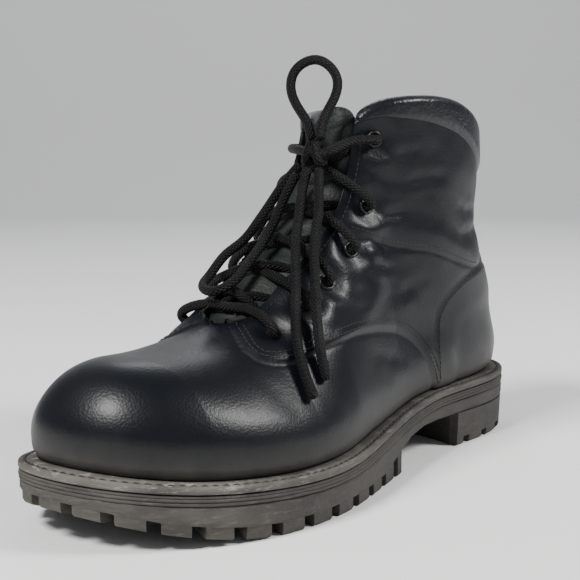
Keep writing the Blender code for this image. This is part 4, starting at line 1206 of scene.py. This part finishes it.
# Up the grooved edge, then back under the welt and down inside.
midsole_shape = round_strip(
    [-0.9, -0.35, -0.2, -0.2, -0.35, -0.8, -0.35, 0, 0, -0.25, -0.75, -0.3, -0.2, -0.35, -0.9],
    [8.18, 7.9, 7.5, 7.1, 6.75, 6.6, 6.45, 6.1, 5.7, 5.3, 5.15, 5.0, 4.6, 4.3, 4.05],
    [-12, -12], [4.05, 8.18])
midsole = new_piece("midsole_band", *midsole_shape, band_finish)
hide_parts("midsole")

# ---- Outsole and heel -----------------------------------------------------------------------
# Both are moulded in dense rubber. The outsole has square lugs round its edge and cross bars
# between them; the heel is a block with short lugs and a hollowed front. Edges are worn round.


def worn_copy(node, name, finish, width):
    """A copy of a modelled solid with its loose triangles merged and its edges worn round."""
    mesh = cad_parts[node].data.copy()
    shape = bmesh.new()
    shape.from_mesh(mesh)
    bmesh.ops.remove_doubles(shape, verts=shape.verts, dist=WELD_GAP)
    bmesh.ops.dissolve_limit(shape, angle_limit=np.radians(1.5), verts=shape.verts,
                             edges=shape.edges)
    shape.to_mesh(mesh)
    shape.free()
    mesh.name = name
    mesh.materials.clear()
    mesh.materials.append(finish)
    piece = bpy.data.objects.new(name, mesh)
    bpy.context.scene.collection.objects.link(piece)
    worn = piece.modifiers.new("worn", "BEVEL")
    worn.width = width
    worn.segments = 2
    worn.limit_method = "ANGLE"
    worn.angle_limit = np.radians(35)
    mesh.shade_smooth()
    mesh.set_sharp_from_angle(angle=np.radians(32))
    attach(piece, "root")
    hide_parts(node)


tread_finish = dusty_rubber("tread_rubber", (0.095, 0.087, 0.077, 1), (0.016, 0.0155, 0.015, 1), 0.9,
                            0.35)
for node, name in (("outsole", "outsole_tread"), ("heel", "heel_block")):
    worn_copy(node, name, tread_finish, 0.9 * MM)

# ---- Floor and light ------------------------------------------------------------------------
# A pale floor that rises in a wide curve behind the boot, one broad soft light over the toe, one
# over the outer side, and a dim even sky.


def studio_sheet():
    """The floor: flat, then a quarter circle up to a wall, swept straight across the view."""
    angle = np.linspace(0, np.pi / 2, 24)
    run = np.concatenate([[-2.6], 1.7 + 0.9 * np.sin(angle), [2.6]])
    rise = np.concatenate([[0.0], 0.9 * (1 - np.cos(angle)), [2.6]])
    ahead = np.array([-0.62, 0.785, 0.0])
    aside = np.array([0.785, 0.62, 0.0])
    wide = np.linspace(-3.2, 3.2, 3)
    return (run[:, None, None] * ahead + wide[None, :, None] * aside
            + rise[:, None, None] * np.array([0.0, 0.0, 1.0]))


paper = Finish("studio_paper", Specular_IOR_Level=0.2)
paper_tone = paper.noise(3.0, 2.0)
paper_colour = paper.mix(paper_tone, (0.86, 0.86, 0.86, 1), (0.89, 0.89, 0.885, 1))
paper.done(paper_colour, 0.75 + 0.05 * paper_tone)
sweep = studio_sheet()
floor = new_piece("studio_floor", sweep, grid_quads(*sweep.shape[:2])[:, ::-1], paper.material)


def soft_light(name, place, target, size, power, tint):
    """An area light that faces its target."""
    light = bpy.data.lights.new(name, "AREA")
    light.shape = "RECTANGLE"
    light.size = size[0]
    light.size_y = size[1]
    light.energy = power
    light.color = tint
    made = bpy.data.objects.new(name, light)
    made.location = place
    made.rotation_euler = (Vector(target) - Vector(place)).to_track_quat("-Z", "Y").to_euler()
    bpy.context.scene.collection.objects.link(made)


soft_light("light_toe", (-0.15, -1.15, 1.35), (0, -0.05, 0.06), (0.5, 0.4), 40, (1.0, 0.99, 0.97))
soft_light("light_side", (1.15, 0.65, 1.2), (0, 0, 0.1), (0.45, 0.45), 30, (1.0, 0.99, 0.97))
soft_light("light_back", (-1.0, 1.0, 1.2), (0, 0.05, 0.1), (0.5, 0.4), 3, (0.95, 0.98, 1.0))
world = bpy.data.worlds.new("studio")
world.use_nodes = True
world.node_tree.nodes["Background"].inputs["Color"].default_value = (0.62, 0.65, 0.70, 1)
world.node_tree.nodes["Background"].inputs["Strength"].default_value = 0.4
bpy.context.scene.world = world
